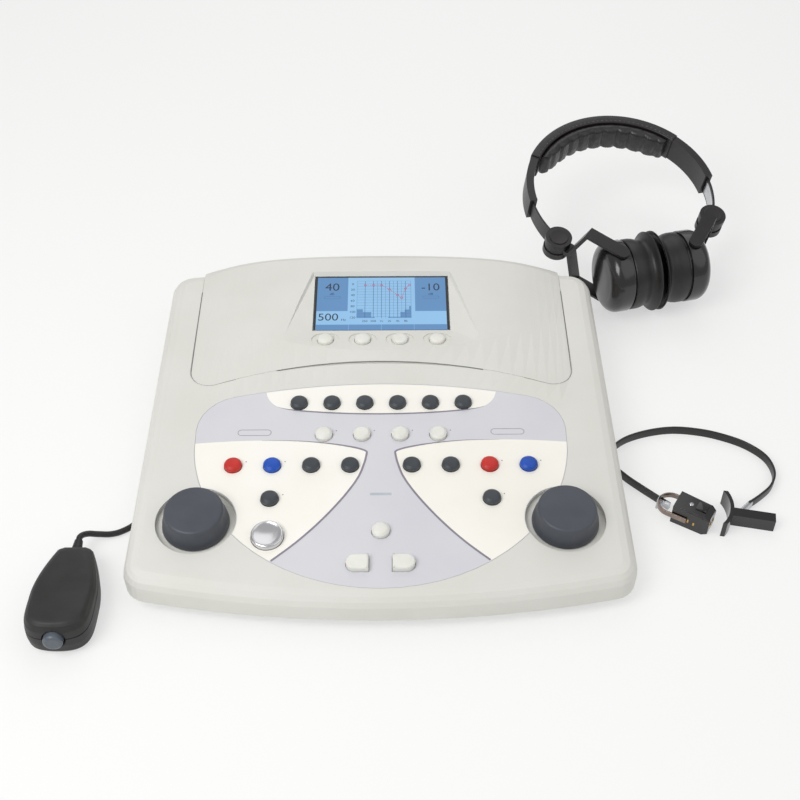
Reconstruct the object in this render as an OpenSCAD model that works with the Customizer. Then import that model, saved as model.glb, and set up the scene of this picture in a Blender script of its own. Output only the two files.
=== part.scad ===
// Desk audiometer with its patient response handset, air conduction headset
// and bone conduction set. Millimetres, +Z up, +Y to the back of the console.
// The origin is the underside of the centre foot, on the table.

/* [Console case] */
// Half width of the case at its corners
case_half_w = 195.5; // [190:0.5:200]
// How far the sides bow out between the corners
side_bow = 3; // [0:0.5:6]
// Front of the case at its middle, from the centre foot
front_mid = 187; // [182:0.5:192]
// Rear of the case at its middle, from the centre foot
rear_mid = 190; // [187:0.5:195]
// Radius of the plan corners
corner_r = 20; // [16:1:24]
// Height of the control panel at its front edge
front_h = 34; // [32:0.5:38]
// Slope of the control panel in degrees
panel_tilt = 4.5; // [3.5:0.1:5.5]
// Depth and width of the rounded top edge
edge_r = 12.5; // [10:0.5:14]
// Height of the upper shell's lower edge
shell_bottom = 12; // [11:0.5:13]
// Wall of the upper shell
shell_wall = 3; // [2.5:0.1:3.5]
// Height of the rubber feet
foot_h = 3; // [2:0.5:4]
// Diameter of the rubber feet
foot_d = 16; // [12:1:20]
// How far the base tray stands in from the shell
tray_inset = 18; // [15:1:20]
// Wall of the base tray
tray_wall = 2.5; // [2:0.1:3]

/* [Rear cover] */
// Height of the raised hood above the panel's plane at its crest
hood_h = 15.4; // [13:0.2:18]
// Height of the cover's front seam above the panel's plane
seam_h = 9.6; // [8:0.2:11]
// Half width of the cover
cover_half_w = 165.5; // [162:0.5:168]
// Place of the cover's front seam at its middle
seam_mid = 51; // [49:0.5:53]
// Wall of the rear cover
cover_wall = 2.6; // [2.2:0.1:3]
// Running gap round the cover
seam_gap = 0.3; // [0.2:0.05:0.5]
// Width of the screen window
window_w = 121.7; // [110:0.1:124]
// Depth of the screen window
window_d = 68.5; // [60:0.5:69]
// Slope of the screen in degrees
window_tilt = 6.4; // [5.5:0.1:7]
// Front edge of the screen, from the centre foot
window_front = 88.4; // [87:0.1:90]
// Height of the screen's front edge
window_z = 64.6; // [63.5:0.1:66]

/* [Keys] */
// Diameter of a round key at its base
key_d = 14.2; // [12:0.1:15]
// How far a key stands above the panel
key_h = 5; // [3:0.5:6]
// Travel of a key
key_travel = 1.2; // [0.6:0.1:1.5]
// Gap round a key in its hole
key_gap = 0.4; // [0.3:0.05:0.6]
// Diameter of the chrome tone key
tone_key_d = 25.4; // [22:0.2:28]
// Diameter of a screen key
screen_key_d = 14; // [11:0.5:15]
// Spacing of the screen keys
screen_key_pitch = 32.7; // [28:0.1:34]
// Spacing of the menu keys
menu_pitch = 27.8; // [24:0.1:30]
// Spacing of the channel and mode keys
channel_pitch = 31.6; // [28:0.1:33]
// Width of a frequency key
freq_key_w = 17.4; // [14:0.2:18]
// Depth of a frequency key
freq_key_d = 13.5; // [11:0.5:15]

/* [Dials] */
// Base diameter of a level dial
dial_d = 52.7; // [44:0.1:56]
// Top diameter of a level dial
dial_top_d = 46.4; // [38:0.1:47]
// Height of a level dial
dial_h = 18.6; // [12:0.2:22]
// Distance of a dial from the middle of the console
dial_x = 144.5; // [142:0.5:146]
// Radius of the bowl round a dial
bowl_r = 31.5; // [29.5:0.5:32]
// Depth of the bowl round a dial
bowl_depth = 5; // [3:0.5:6]
// Diameter of a dial's shaft
shaft_d = 6; // [5:0.5:7]

/* [Response handset] */
// Greatest width of the handset
handset_w = 51; // [48:0.2:56]
// Length of the handset
handset_len = 88; // [80:1:100]
// Height of the handset
handset_h = 34; // [31:0.5:38]
// Height of the joint between its halves
handset_split = 19; // [17:0.5:20]
// Wall of the handset
handset_wall = 2.2; // [1.8:0.1:2.6]
// Diameter of its push button
button_d = 15; // [12:0.5:16]
// Travel of its push button
button_travel = 2; // [1:0.5:2.5]
// Diameter of the handset's cord
cord_d = 5; // [4.4:0.1:5]

/* [Headset] */
// Radius of the headband's middle line
band_r = 93.2; // [88:0.2:98]
// Thickness of the headband arch
band_t = 7.6; // [6.6:0.1:9]
// Width of the headband arch
band_w = 26; // [24:0.5:30]
// Thickness of the sliding end strips
strip_t = 1.8; // [1.4:0.1:2.4]
// Width of the sliding end strips
strip_w = 19; // [16:0.5:20]
// Diameter of the folding hubs
hub_d = 26; // [22:0.5:28]
// Diameter of the hub pins
hub_pin_d = 5; // [4:0.5:6]
// Radius of an ear cup
cup_r = 34.6; // [33:0.2:35]
// Radius of an ear cushion's flared lip
lip_r = 38.6; // [38.4:0.2:40]
// Space between the two cushions at rest
cushion_gap = 5; // [5:0.2:9]
// Thickness of the headband pad
pad_t = 13; // [9:0.5:15]

/* [Bone conduction set] */
// Height of the spring band
bone_band_h = 8; // [6:0.5:9]
// Thickness of the sleeved spring band
bone_band_t = 2; // [1.6:0.1:2.6]
// Length of the vibrator
vibrator_l = 32; // [28:0.5:34]
// Width of the vibrator
vibrator_w = 19; // [16:0.5:20]
// Height of the vibrator
vibrator_h = 19; // [16:0.5:22]
// Diameter of the vibrator's pivot pins
vibrator_pin_d = 3; // [2.5:0.5:3.5]

/* [Hidden] */
$fn = 64;

shell_c = "#DEDFD9";
overlay_c = "#D6D6DA";
dark_c = "#3E4347";
white_c = "#E8E8E2";
red_c = "#C8302B";
blue_c = "#1D52B8";
black_c = "#26262A";
steel_c = "#C9CBCE";

// ---------- plan outlines ----------
// The panel's plane starts at this place, near the front corners.
panel_front_y = 165;
function panel_z(y) = front_h + (y + panel_front_y) * tan(panel_tilt);

// One bowed end of the case: a corner arc, the bowed middle and the other corner arc.
function bow_r(cx, cy, mid, r) = (cx * cx + pow(mid - cy, 2) - r * r) / (2 * (mid - cy - r));
function bowed_end(cx, cy, mid, r, inset) =
    let (big = bow_r(cx, cy, mid, r), big_y = mid - big, lean = atan(cx / (cy - big_y)))
    concat([for (i = [0:6]) let (a = i / 6 * (90 - lean)) [cx + (r - inset) * cos(a), cy + (r - inset) * sin(a)]],
        [for (i = [1:11]) let (a = 90 - lean + i / 12 * 2 * lean)
            [(big - inset) * cos(a), big_y + (big - inset) * sin(a)]],
        [for (i = [0:6]) let (a = 90 + lean + i / 6 * (90 - lean))
            [-cx + (r - inset) * cos(a), cy + (r - inset) * sin(a)]]);

front_corner_y = 149;
rear_corner_y = 159;
corner_x = case_half_w - corner_r;
bow_span = 175;
bow_middle = -20;
function bow_side(p) = [p[0] * (1 + side_bow / case_half_w * (1 - pow((p[1] - bow_middle) / bow_span, 2))), p[1]];
function case_outline(inset) = [for (p = concat(
        bowed_end(corner_x, rear_corner_y, rear_mid, corner_r, inset),
        [for (q = bowed_end(corner_x, front_corner_y, front_mid, corner_r, inset)) [-q[0], -q[1]]]))
    bow_side(p)];
// The same outline drawn in by a share of its size, so that its corners stay round.
function tray_outline(inset) = [for (p = case_outline(0)) p * (1 - inset / case_half_w)];

// The overlay: a bowed top edge over an elliptical lower edge.
overlay_half_w = 153.6;
overlay_corner_r = 38;
overlay_corner_y = -17;
overlay_top = 34.6;
overlay_mid_y = -26;
overlay_bottom = 173;
function overlay_outline(inset) = concat(
    bowed_end(overlay_half_w - overlay_corner_r, overlay_corner_y, overlay_top, overlay_corner_r, inset),
    [for (i = [1:31]) let (a = 180 + i / 32 * 180)
        [(overlay_half_w - inset) * cos(a), overlay_mid_y + (overlay_bottom + overlay_mid_y - inset) * sin(a)]]);

// The cover's front seam: a bowed middle that runs into two corner arcs.
seam_drop = 18.3;
seam_corner_r = 19;
seam_corner_x = cover_half_w - seam_corner_r;
seam_corner_y = seam_mid;
seam_lean = 16;
seam_end_x = seam_corner_x - seam_corner_r * sin(seam_lean);
function seam_y(x) = abs(x) <= seam_end_x
    ? seam_mid - seam_drop * pow(abs(x) / seam_end_x, 2.2)
    : seam_corner_y - sqrt(max(0, pow(seam_corner_r, 2) - pow(min(abs(x), cover_half_w) - seam_corner_x, 2)));
cover_back = 230;
module cover_plan(grow) {
    points = concat(
        [for (i = [0:8]) let (a = -i / 8 * (90 + seam_lean))
            [seam_corner_x + (seam_corner_r + grow) * cos(a), seam_corner_y + (seam_corner_r + grow) * sin(a)]],
        [for (i = [1:17]) let (x = seam_end_x * (1 - i / 9)) [x, seam_y(x) - grow]],
        [for (i = [8:-1:0]) let (a = -i / 8 * (90 + seam_lean))
            [-seam_corner_x - (seam_corner_r + grow) * cos(a), seam_corner_y + (seam_corner_r + grow) * sin(a)]],
        [[-cover_half_w - grow, cover_back], [cover_half_w + grow, cover_back]]);
    polygon(points);
}

// ---------- frames ----------
module on_panel(x, y, h = 0) {
    translate([x, y, panel_z(y)]) rotate([panel_tilt, 0, 0]) translate([0, 0, h]) children();
}
// Draws a plan shape as a slab of the panel's plane, from h to h + t.
module panel_slab(h, t) {
    translate([0, 0, panel_z(0)]) rotate([panel_tilt, 0, 0]) translate([0, 0, h]) linear_extrude(t) children();
}
thin = 0.02;

// A closed loft through rings of equal length.
module loft(rings) {
    n = len(rings[0]);
    m = len(rings);
    points = [for (ring = rings) each ring];
    sides = [for (i = [0:m - 2]) for (j = [0:n - 1]) let (k = (j + 1) % n)
        each [[i * n + j, (i + 1) * n + k, (i + 1) * n + j], [i * n + j, i * n + k, (i + 1) * n + k]]];
    first = [[for (j = [n - 1:-1:0]) j]];
    last = [[for (j = [0:n - 1]) (m - 1) * n + j]];
    polyhedron(points, concat(first, sides, last));
}

// ---------- console case ----------
edge_steps = [[0, 1], [0.1, 0.56], [0.32, 0.28], [0.64, 0.07], [1, 0]];
module wedge(inset, drop, bottom_z, bottom_inset) {
    hull() {
        for (s = edge_steps) {
            panel_slab(-drop - s[0] * edge_r, thin) polygon(case_outline(inset + s[1] * edge_r));
        }
        translate([0, 0, bottom_z]) linear_extrude(thin) polygon(case_outline(bottom_inset + inset));
    }
}

ramp_foot_gap = 0.8;
overlay_arc_r = bow_r(overlay_half_w - overlay_corner_r, overlay_corner_y, overlay_top, overlay_corner_r);
function ramp_y(x) = overlay_top + ramp_foot_gap - overlay_arc_r + sqrt(pow(overlay_arc_r, 2) - x * x);
function crest_h(x) = seam_h * max(0, 1 - pow(x / cover_half_w, 2));
ramp_back = 12;
ramp_root = 2;
// Rises from behind the overlay to the cover's seam.
module seam_ramp() {
    loft([for (i = [0:28]) let (x = (i / 14 - 1) * (cover_half_w - 0.5), y0 = ramp_y(x), y1 = seam_y(x), c = crest_h(x))
        [[x, y0, panel_z(y0) - ramp_root], [x, y0, panel_z(y0)], [x, y1, panel_z(y1) + c],
         [x, y1 + ramp_back, panel_z(y1 + ramp_back) + c], [x, y1 + ramp_back, panel_z(y1) - ramp_root]]]);
}

ledge_h = 2.8;
ledge_w = 8;
ledge_t = 3;
shell_low_inset = 0.8;
hole_d = key_d + 2 * key_gap;
boss_wall = 2.6;
bowl_floor = 3;
overlay_t = 0.8;
overlay_gap = 0.25;
sleeve_d = 9;
bowl_hole_d = 9.8;
dial_y = -109.5;

// Keys of the panel: name, x, y, colour. The round ones share one size.
menu_y = 12;
mode_y = -22.8;
channel_y = -55.5;
channel_x = 25;
mode_row_y = -89.2;
mode_key_x = 88;
store_y = -120.5;
function menu_x(i) = (i - 3.5) * menu_pitch;
function mode_x(i) = (i - 2.5) * channel_pitch;
function channel_key_x(i) = channel_x + i * channel_pitch;
round_keys = concat(
    [for (i = [1:6]) [menu_x(i), menu_y]],
    [for (i = [1:4]) [mode_x(i), mode_y]],
    [for (i = [0:3]) [channel_key_x(i), channel_y]],
    [for (i = [0:3]) [-channel_key_x(i), channel_y]],
    [[-mode_key_x, mode_row_y], [mode_key_x, mode_row_y], [0, store_y]]);
tone_x = -87.5;
tone_y = -125.1;
freq_x = 9;
freq_y = -151;

module freq_plan(side, grow) {
    r = freq_key_d / 2;
    translate([side * freq_x, 0]) scale([side, 1]) {
        translate([-grow, -r - grow]) square([freq_key_w - r + grow, freq_key_d + 2 * grow]);
        translate([freq_key_w - r, 0]) circle(r + grow);
    }
}
module panel_holes(depth, extra) {
    for (k = round_keys) on_panel(k[0], k[1], -depth) cylinder(d = hole_d + extra, h = depth + 3);
    on_panel(tone_x, tone_y, -depth) cylinder(d = tone_key_d + 2 * key_gap + extra, h = depth + 3);
    for (side = [-1, 1]) on_panel(0, freq_y, -depth) linear_extrude(depth + 3) freq_plan(side, key_gap + extra / 2);
}

screw_xy = [[160, -140], [-160, -140], [168, 20], [-168, 20], [166, 135], [-166, 135]];
screw_d = 3;
boss_d = 8;
screw_hole_d = 3.1;
boss_bottom = 13;
socket_x = [-75, -25, 25, 65, 105, 135];
socket_z = 28;
socket_d = 14;
socket_hole_d = 14.6;

module top_shell() {
    color(shell_c) difference() {
        union() {
            difference() {
                union() {
                    wedge(0, 0, shell_bottom, shell_low_inset);
                    seam_ramp();
                }
                wedge(shell_wall, shell_wall, shell_bottom - 1, shell_low_inset);
                panel_slab(-ledge_h - 20, 21) under_cover_plan();
            }
            // ledge under the cover's rim
            difference() {
                panel_slab(-ledge_h - ledge_t, ledge_t) ledge_plan();
                panel_slab(-ledge_h - ledge_t - 1, ledge_t + 2) ledge_hole();
            }
            // floors of the dial bowls
            for (side = [-1, 1]) on_panel(side * dial_x, dial_y, -bowl_depth - bowl_floor)
                cylinder(r = bowl_r + boss_wall, h = bowl_depth + bowl_floor - 1);
            // screw bosses
            for (p = screw_xy) translate([p[0], p[1], boss_bottom])
                cylinder(d = boss_d, h = panel_z(p[1]) - shell_wall + 0.5 - boss_bottom);
        }
        // opening for the cover, right through the ledge's top
        panel_slab(-ledge_h, 60) cover_plan(seam_gap);
        panel_slab(-overlay_t, 30) polygon(overlay_outline(-overlay_gap));
        for (side = [-1, 1]) {
            on_panel(side * dial_x, dial_y, -bowl_depth) cylinder(r = bowl_r, h = 30);
            on_panel(side * dial_x, dial_y, -20) cylinder(d = bowl_hole_d, h = 30);
        }
        panel_holes(10, 0);
        for (p = screw_xy) translate([p[0], p[1], boss_bottom - 1]) cylinder(d = screw_hole_d, h = 14);
        for (x = socket_x) translate([x, rear_mid - 12, socket_z]) rotate([-90, 0, 0]) cylinder(d = socket_hole_d, h = 20);
    }
}
// Clears the space between the wedge's own roof and the cover.
module under_cover_plan() {
    intersection() {
        cover_plan(-ledge_w);
        polygon(case_outline(shell_wall + edge_r));
    }
}
module ledge_plan() {
    intersection() {
        cover_plan(2);
        polygon(case_outline(shell_wall + 2));
    }
}
module ledge_hole() {
    intersection() {
        cover_plan(-ledge_w);
        polygon(case_outline(shell_wall + 2 + ledge_w));
    }
}

// ---------- rear cover ----------
hood_power = 2.6;
crown_power = 5;
ridge_mid = 60.5;
ridge_curve = 13.5 / (86 * 86);
crown_setback = 11.5;
cover_x = cover_half_w;
cover_lip = 1.5;
function ridge_y(x) = min(ridge_mid + ridge_curve * x * x, 104);
function ridge_h(x) = hood_h * (1 - pow(abs(x) / (cover_x + cover_lip), hood_power));
function crown_h(x) = (hood_h + 0.6) * (1 - pow(abs(x) / (cover_x + cover_lip), crown_power));
function rear_y(x) = let (big = bow_r(corner_x, rear_corner_y, rear_mid, corner_r), by = rear_mid - big)
    by + sqrt(big * big - x * x);
// One y-z profile of the cover; t is how far it lies inside the outer face. The outer one
// runs past the cover's plan at its front and sides, which is cut to its outline afterwards.
seam_over = 2;
hood_root = 8;
function hood_profile(x, t) = let (
        y1 = t > 0 ? seam_y(x) + t : seam_y(x) - seam_over, y2 = ridge_y(x) + t * 0.3,
        yr = rear_y(x) - t, y3 = yr - crown_setback, ym = (y2 + y3) / 2, rise = seam_slope * (y1 - seam_y(x)),
        top = crown_h(x), low = panel_z(y1) - hood_root, low_r = panel_z(yr) - hood_root)
    [[x, y1, low], [x, y1, panel_z(y1) + crest_h(x) + (t > 0 ? 0 : rise) - t],
     [x, y2, panel_z(y2) + ridge_h(x) - t],
     [x, ym, panel_z(ym) + (ridge_h(x) + top) / 2 + 0.8 * top / hood_h - t],
     [x, y3, panel_z(y3) + top - t], [x, yr - 6.5, panel_z(yr - 6.5) + top * 0.93 - 1 - t],
     [x, yr - 3, panel_z(yr - 3) + top * 0.7 - 2 - t], [x, yr - 4, panel_z(yr) + top * 0.2 - 1.4 - max(0, 1.8 - top) - t],
     [x, yr - 4.8 - t / 2, low_r]];
seam_slope = 0.45;
hood_steps = 15;
function hood_x(i, t) = let (u = i / hood_steps) sign(u) * (cover_x - max(t, 0.05)) * (1 - pow(1 - abs(u), 1.5));
module hood_body(t) {
    loft([for (i = [-hood_steps:hood_steps]) hood_profile(hood_x(i, t), t)]);
}

// The sunken field of the screen and its keys, as the space cut from the hood.
strip_tip_x = 88;
strip_tip_y = 74;
strip_mid_z = 66.4;
strip_front = 3;
well_rear_gap = 3;
well_side_gap = 1;
well_top = 100;
strip_end = window_front - 0.6;
function window_y(s) = window_front + s * cos(window_tilt);
function window_zs(s) = window_z + s * sin(window_tilt);
function strip_z(y) = strip_mid_z + (y - ridge_mid) * (window_z - strip_mid_z) / (strip_end - ridge_mid);
module screen_well(t) {
    w = window_w / 2 + well_side_gap + t;
    y_front = ridge_mid - strip_front - t * 0.6;
    y_tip = strip_tip_y - strip_front - t * 0.6;
    y_rear = window_y(window_d + well_rear_gap) + t;
    hull() {
        for (side = [-1, 1]) {
            for (p = [[w, strip_end - t * 0.2, window_z - t], [w, window_y(window_d + 0.7) + t, window_zs(window_d + 0.7) - t],
                    [w + 1.5, y_rear, window_zs(window_d) + 3.5 - t * 0.5], [strip_tip_x + t, y_tip, strip_z(y_tip) - t],
                    [strip_tip_x / 2, y_front + 3.4, strip_z(y_front + 3.4) - t],
                    [w + 2.5, y_rear, well_top], [strip_tip_x + 1 + t, y_tip, well_top],
                    [strip_tip_x / 2, y_front + 3.4, well_top]])
                translate([side * p[0], p[1], p[2]]) cube(thin, center = true);
        }
        for (z = [strip_z(y_front) - t, well_top]) translate([0, y_front, z]) cube(thin, center = true);
    }
}
module on_window(x, s, h = 0) {
    translate([x, window_y(s), window_zs(s)]) rotate([window_tilt, 0, 0]) translate([0, 0, h]) children();
}
window_t = 1.4;
window_gap = 0.3;
screen_rim = 2;
strip_tilt = atan((window_z - strip_mid_z) / (strip_end - ridge_mid));
strip_key_y = 75.3;
strip_key_z = strip_z(strip_key_y);
module on_strip(i, h = 0) {
    translate([(i - 2.5) * screen_key_pitch, strip_key_y, strip_key_z]) rotate([strip_tilt, 0, 0])
        translate([0, 0, h]) children();
}
dish_depth = 0.9;
dish_d = 17.6;
dish_reach = 3.6;
module rear_cover() {
    color(shell_c) difference() {
        intersection() {
            hood_body(0);
            panel_slab(-ledge_h, 60) cover_plan(0);
        }
        difference() {
            hood_body(cover_wall);
            screen_well(cover_wall);
        }
        screen_well(0);
        on_window(-window_w / 2 - window_gap, -window_gap, -window_t - 0.1)
            cube([window_w + 2 * window_gap, window_d + 2 * window_gap, 20]);
        on_window(-window_w / 2 + screen_rim, screen_rim, -8)
            cube([window_w - 2 * screen_rim, window_d - 2 * screen_rim, 20]);
        for (i = [1:4]) {
            on_strip(i, -8) cylinder(d = screen_key_d + 2 * key_gap, h = 20);
            on_strip(i, -dish_depth) {
                for (side = [-1, 1]) translate([side * dish_reach, 0, 0]) cylinder(d = dish_d, h = 9);
                translate([-dish_reach, -dish_d / 2, 0]) cube([2 * dish_reach, dish_d, 9]);
            }
        }
    }
}
module display_window() {
    color("#7FB4E0") on_window(-window_w / 2, 0, -window_t - 0.1) cube([window_w, window_d, window_t]);
}
lcd_margin = 2;
lcd_t = 6;
lcd_gap = 0.05;
lcd_drop = cover_wall * (cos(window_tilt) + sin(window_tilt)) + lcd_gap;
module lcd_module() {
    color("#9AA0A4") on_window(-window_w / 2 - lcd_margin, -lcd_margin + 1, -lcd_drop - lcd_t)
        cube([window_w + 2 * lcd_margin, window_d + 2 * lcd_margin - 1, lcd_t]);
    // raised glass that fills the cover's opening
    color("#33475C") on_window(-window_w / 2 + screen_rim + 0.3, screen_rim + 0.3, -lcd_drop - 0.01)
        cube([window_w - 2 * screen_rim - 0.6, window_d - 2 * screen_rim - 0.6, lcd_drop - window_t - 0.1]);
}

// ---------- control overlay ----------
module control_overlay() {
    color(overlay_c) difference() {
        panel_slab(-overlay_t, overlay_t) polygon(overlay_outline(0));
        panel_holes(4, 0);
        for (side = [-1, 1]) on_panel(side * dial_x, dial_y, -4) cylinder(r = bowl_r + 0.4, h = 10);
    }
}

// ---------- base tray ----------
tray_top = 12;
flange_t = 2.5;
flange_gap = 0.4;
floor_t = 2.5;
post_d = 7;
post_xy = [[130, -150], [-130, -150], [0, -150], [125, -25], [-125, -25], [60, 10], [-60, 10]];
board_h = 16;
board_t = 1.6;
rear_board_z = 15;
rear_post_xy = [[130, 60], [-130, 60], [120, 165], [-120, 165]];
module base_tray() {
    color("#CFD0CA") difference() {
        union() {
            difference() {
                union() {
                    hull() {
                        translate([0, 0, foot_h]) linear_extrude(thin) polygon(tray_outline(tray_inset + 3));
                        translate([0, 0, tray_top]) linear_extrude(thin) polygon(tray_outline(tray_inset - 3));
                    }
                    translate([0, 0, tray_top - 0.5]) linear_extrude(flange_t + 0.5)
                        polygon(case_outline(shell_low_inset + shell_wall + flange_gap));
                }
                translate([0, 0, foot_h + floor_t]) linear_extrude(20) polygon(tray_outline(tray_inset + 3 + tray_wall));
            }
            for (p = screw_xy) translate([p[0], p[1], foot_h]) cylinder(d = boss_d + 2, h = boss_bottom - foot_h - 0.1);
            difference() {
                for (p = post_xy) translate([p[0], p[1], foot_h]) cylinder(d = post_d, h = 40);
                panel_slab(-board_h, 60) square(500, center = true);
            }
            for (p = rear_post_xy) translate([p[0], p[1], foot_h]) cylinder(d = post_d, h = rear_board_z - foot_h);
        }
        for (p = screw_xy) {
            translate([p[0], p[1], foot_h - 1]) cylinder(d = screw_hole_d, h = 20);
            translate([p[0], p[1], foot_h - 1]) cylinder(d = 6.4, h = 3.2);
        }
    }
}
foot_xy = [[0, 0], [140, -130], [-140, -130], [135, 130], [-135, 130]];
module rubber_feet() {
    color("#3A3A3C") for (p = foot_xy) translate([p[0], p[1], 0]) rotate_extrude()
        polygon([[0, 0], [foot_d / 2 - 1, 0], [foot_d / 2, 1], [foot_d / 2, foot_h], [0, foot_h]]);
}
screw_len = 14;
module case_screws() {
    color(steel_c) for (p = screw_xy) translate([p[0], p[1], foot_h + 0.2]) {
        cylinder(d = 5.6, h = 2);
        cylinder(d = screw_d, h = screw_len);
    }
}

// ---------- boards and switches ----------
board_rear_y = 22;
board_front_y = -158;
board_half_w = 150;
key_top = -board_h + board_t;
screen_board_drop = 9.5;
module circuit_boards() {
    color("#2F6B3F") {
        on_panel(0, 0, 0) translate([-board_half_w, board_front_y, -board_h])
            cube([2 * board_half_w, board_rear_y - board_front_y, board_t]);
        translate([-140, 48, rear_board_z]) cube([280, 125, board_t]);
        for (s = [-1, 1]) translate([s * 58 - 3, 84, rear_board_z + board_t])
            cube([6, board_t, strip_key_z - screen_board_drop - board_t - rear_board_z - board_t + 1.1]);
        on_strip(2.5, -screen_board_drop - board_t) translate([-62, -6, 0]) cube([124, 15.5, board_t]);
    }
}
switch_w = 6.2;
switch_h = 4;
stem_d = 3;
stem_gap = 0.3;
stem_hole = 3;
encoder_w = 14;
module tact_switch() {
    difference() {
        translate([-switch_w / 2, -switch_w / 2, 0]) cube([switch_w, switch_w, switch_h]);
        translate([0, 0, switch_h - stem_hole]) cylinder(d = stem_d + 2 * stem_gap, h = stem_hole + 1);
    }
}
module switch_bodies() {
    color("#55585C") {
        for (k = concat(round_keys, [[tone_x, tone_y], [-freq_x - freq_key_w / 2, freq_y], [freq_x + freq_key_w / 2, freq_y]]))
            on_panel(k[0], k[1], key_top) tact_switch();
        for (i = [1:4]) on_strip(i, -screen_board_drop) tact_switch();
        for (side = [-1, 1]) on_panel(side * dial_x, dial_y, key_top) difference() {
            union() {
                translate([-encoder_w / 2, -encoder_w / 2, 0]) cube([encoder_w, encoder_w, encoder_body_h]);
                cylinder(d = sleeve_d, h = encoder_body_h + 6);
            }
            translate([0, 0, 1]) cylinder(d = shaft_d + 0.1, h = 20);
        }
        translate([handset_x - 5, button_y + switch_front, handset_wall + 0.3])
            cube([10, 12, handset_split - handset_wall + 3]);
    }
}
encoder_body_h = board_h - board_t - bowl_depth - bowl_floor - 0.3;

module rear_sockets() {
    color("#2B2C2F") for (x = socket_x) {
        y = rear_y(x);
        difference() {
            union() {
                translate([x, y - 18, socket_z]) rotate([-90, 0, 0]) cylinder(d = socket_d, h = 18);
                translate([x - 6, y - 17, rear_board_z + board_t]) cube([12, 12, socket_z - rear_board_z - board_t]);
            }
            translate([x, y - 16, socket_z]) rotate([-90, 0, 0]) cylinder(d = jack_hole_d, h = 20);
        }
    }
}
jack_hole_d = 6.5;

// ---------- keys ----------
flange_d_extra = 3.2;
// A round key: domed cap, retaining flange under the shell and a stem to its switch.
module round_key(d, h, dish) {
    base = -shell_wall - 0.3 - 1;
    rotate_extrude() polygon(concat(
        [[0, base], [d / 2 + flange_d_extra / 2, base], [d / 2 + flange_d_extra / 2, base + 1], [d / 2, base + 1],
         [d / 2, h * 0.35]],
        [for (i = [0:5]) let (a = i / 5 * 90) [d / 2 - 0.8 - 2.2 * (1 - cos(a)), h - 2.6 + 2.6 * sin(a) * (dish ? 1 : 0.86)]],
        dish ? [[d / 2 - 4.5, h - 0.2], [0, h - 1.6]] : [[d / 4, h - 0.12], [0, h]]));
    translate([0, 0, key_top + switch_h - stem_hole + key_travel + 0.3])
        cylinder(d = stem_d, h = base - (key_top + switch_h - stem_hole + key_travel + 0.3) + 0.1);
}
module panel_key(x, y, c) {
    color(c) on_panel(x, y) round_key(key_d, key_h, false);
}
module screen_key(i) {
    base = -cover_wall - 0.4 - 0.8;
    low = -screen_board_drop + switch_h - stem_hole + key_travel + 0.3;
    color(white_c) on_strip(i) {
        rotate_extrude() polygon(concat(
            [[0, base], [screen_key_d / 2 + 1, base], [screen_key_d / 2 + 1, base + 0.8], [screen_key_d / 2, base + 0.8],
             [screen_key_d / 2, 0.6]],
            [for (i = [0:5]) let (a = i / 5 * 90) [screen_key_d / 2 - 2.2 * (1 - cos(a)), 1 + 1.6 * sin(a)]],
            [[0, 2.8]]));
        translate([0, 0, low]) cylinder(d = stem_d, h = base - low + 0.1);
    }
}
module freq_key(side) {
    base = -shell_wall - 0.3 - 1;
    low = key_top + switch_h - stem_hole + key_travel + 0.3;
    color(white_c) on_panel(0, freq_y) {
        translate([0, 0, base]) linear_extrude(1) difference() {
            freq_plan(side, 1.4);
            translate([side * (freq_x - 3), 0]) square([6, 30], center = true);
        }
        translate([0, 0, base]) linear_extrude(-base + 3.4) freq_plan(side, 0);
        hull() {
            translate([0, 0, 3.3]) linear_extrude(thin) freq_plan(side, 0);
            translate([0, 0, key_h - 0.4]) linear_extrude(thin) freq_plan(side, -1);
            translate([0, 0, key_h]) linear_extrude(thin) freq_plan(side, -2);
        }
        translate([side * (freq_x + freq_key_w / 2), 0, low]) cylinder(d = stem_d, h = base - low + 0.1);
    }
}
module interrupter_key() {
    color("#D8D8DA") on_panel(tone_x, tone_y) round_key(tone_key_d, key_h - 0.6, true);
}

// ---------- dials ----------
dial_gap = 0.6;
dial_floor = -bowl_depth + dial_gap;
module level_dial(side) {
    shaft_low = key_top + 1.5;
    color("#4A4E55") on_panel(side * dial_x, dial_y) {
        difference() {
            translate([0, 0, dial_floor]) rotate_extrude($fn = 96) polygon(concat(
                [[0, 0], [dial_d / 2 - 1, 0], [dial_d / 2, 1]],
                [for (i = [0:6]) let (a = i / 6 * 90) [dial_top_d / 2 - 2.4 * (1 - cos(a)), dial_h - 2.4 + 2.4 * sin(a)]],
                [[0, dial_h + 0.4]]));
            translate([0, 0, dial_floor - 1]) cylinder(d = sleeve_d + 6, h = 9);
        }
        translate([0, 0, shaft_low]) cylinder(d = shaft_d, h = dial_floor + 9 - shaft_low);
    }
}

// ---------- response handset ----------
handset_x = -239.5;
handset_y = -163;
// Half width of the handset at v, from -1 at its button end to 1 at its cord end.
function handset_half(v) = v < -0.1
    ? handset_w / 2 * pow(1 - pow((-0.1 - v) / 0.9, 5), 1 / 3)
    : handset_w / 2 * (1 - 0.5 * pow((v + 0.1) / 1.1, 1.7));
handset_v = [-0.999, -0.992, -0.975, -0.94, -0.88, -0.78, -0.62, -0.35, -0.1, 0.15, 0.4, 0.65, 0.88, 0.97, 1];
function handset_end(v) = v > 0.96 ? (v - 0.96) * 60 : 0;
function handset_outline(inset) = let (k = (handset_len / 2 - inset) / (handset_len / 2),
        side = [for (v = handset_v) [max(handset_half(v) - inset - handset_end(v), 1), v * handset_len / 2 * k]])
    concat(side, [for (i = [len(side) - 1:-1:0]) [-side[i][0], side[i][1]]]);
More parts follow.
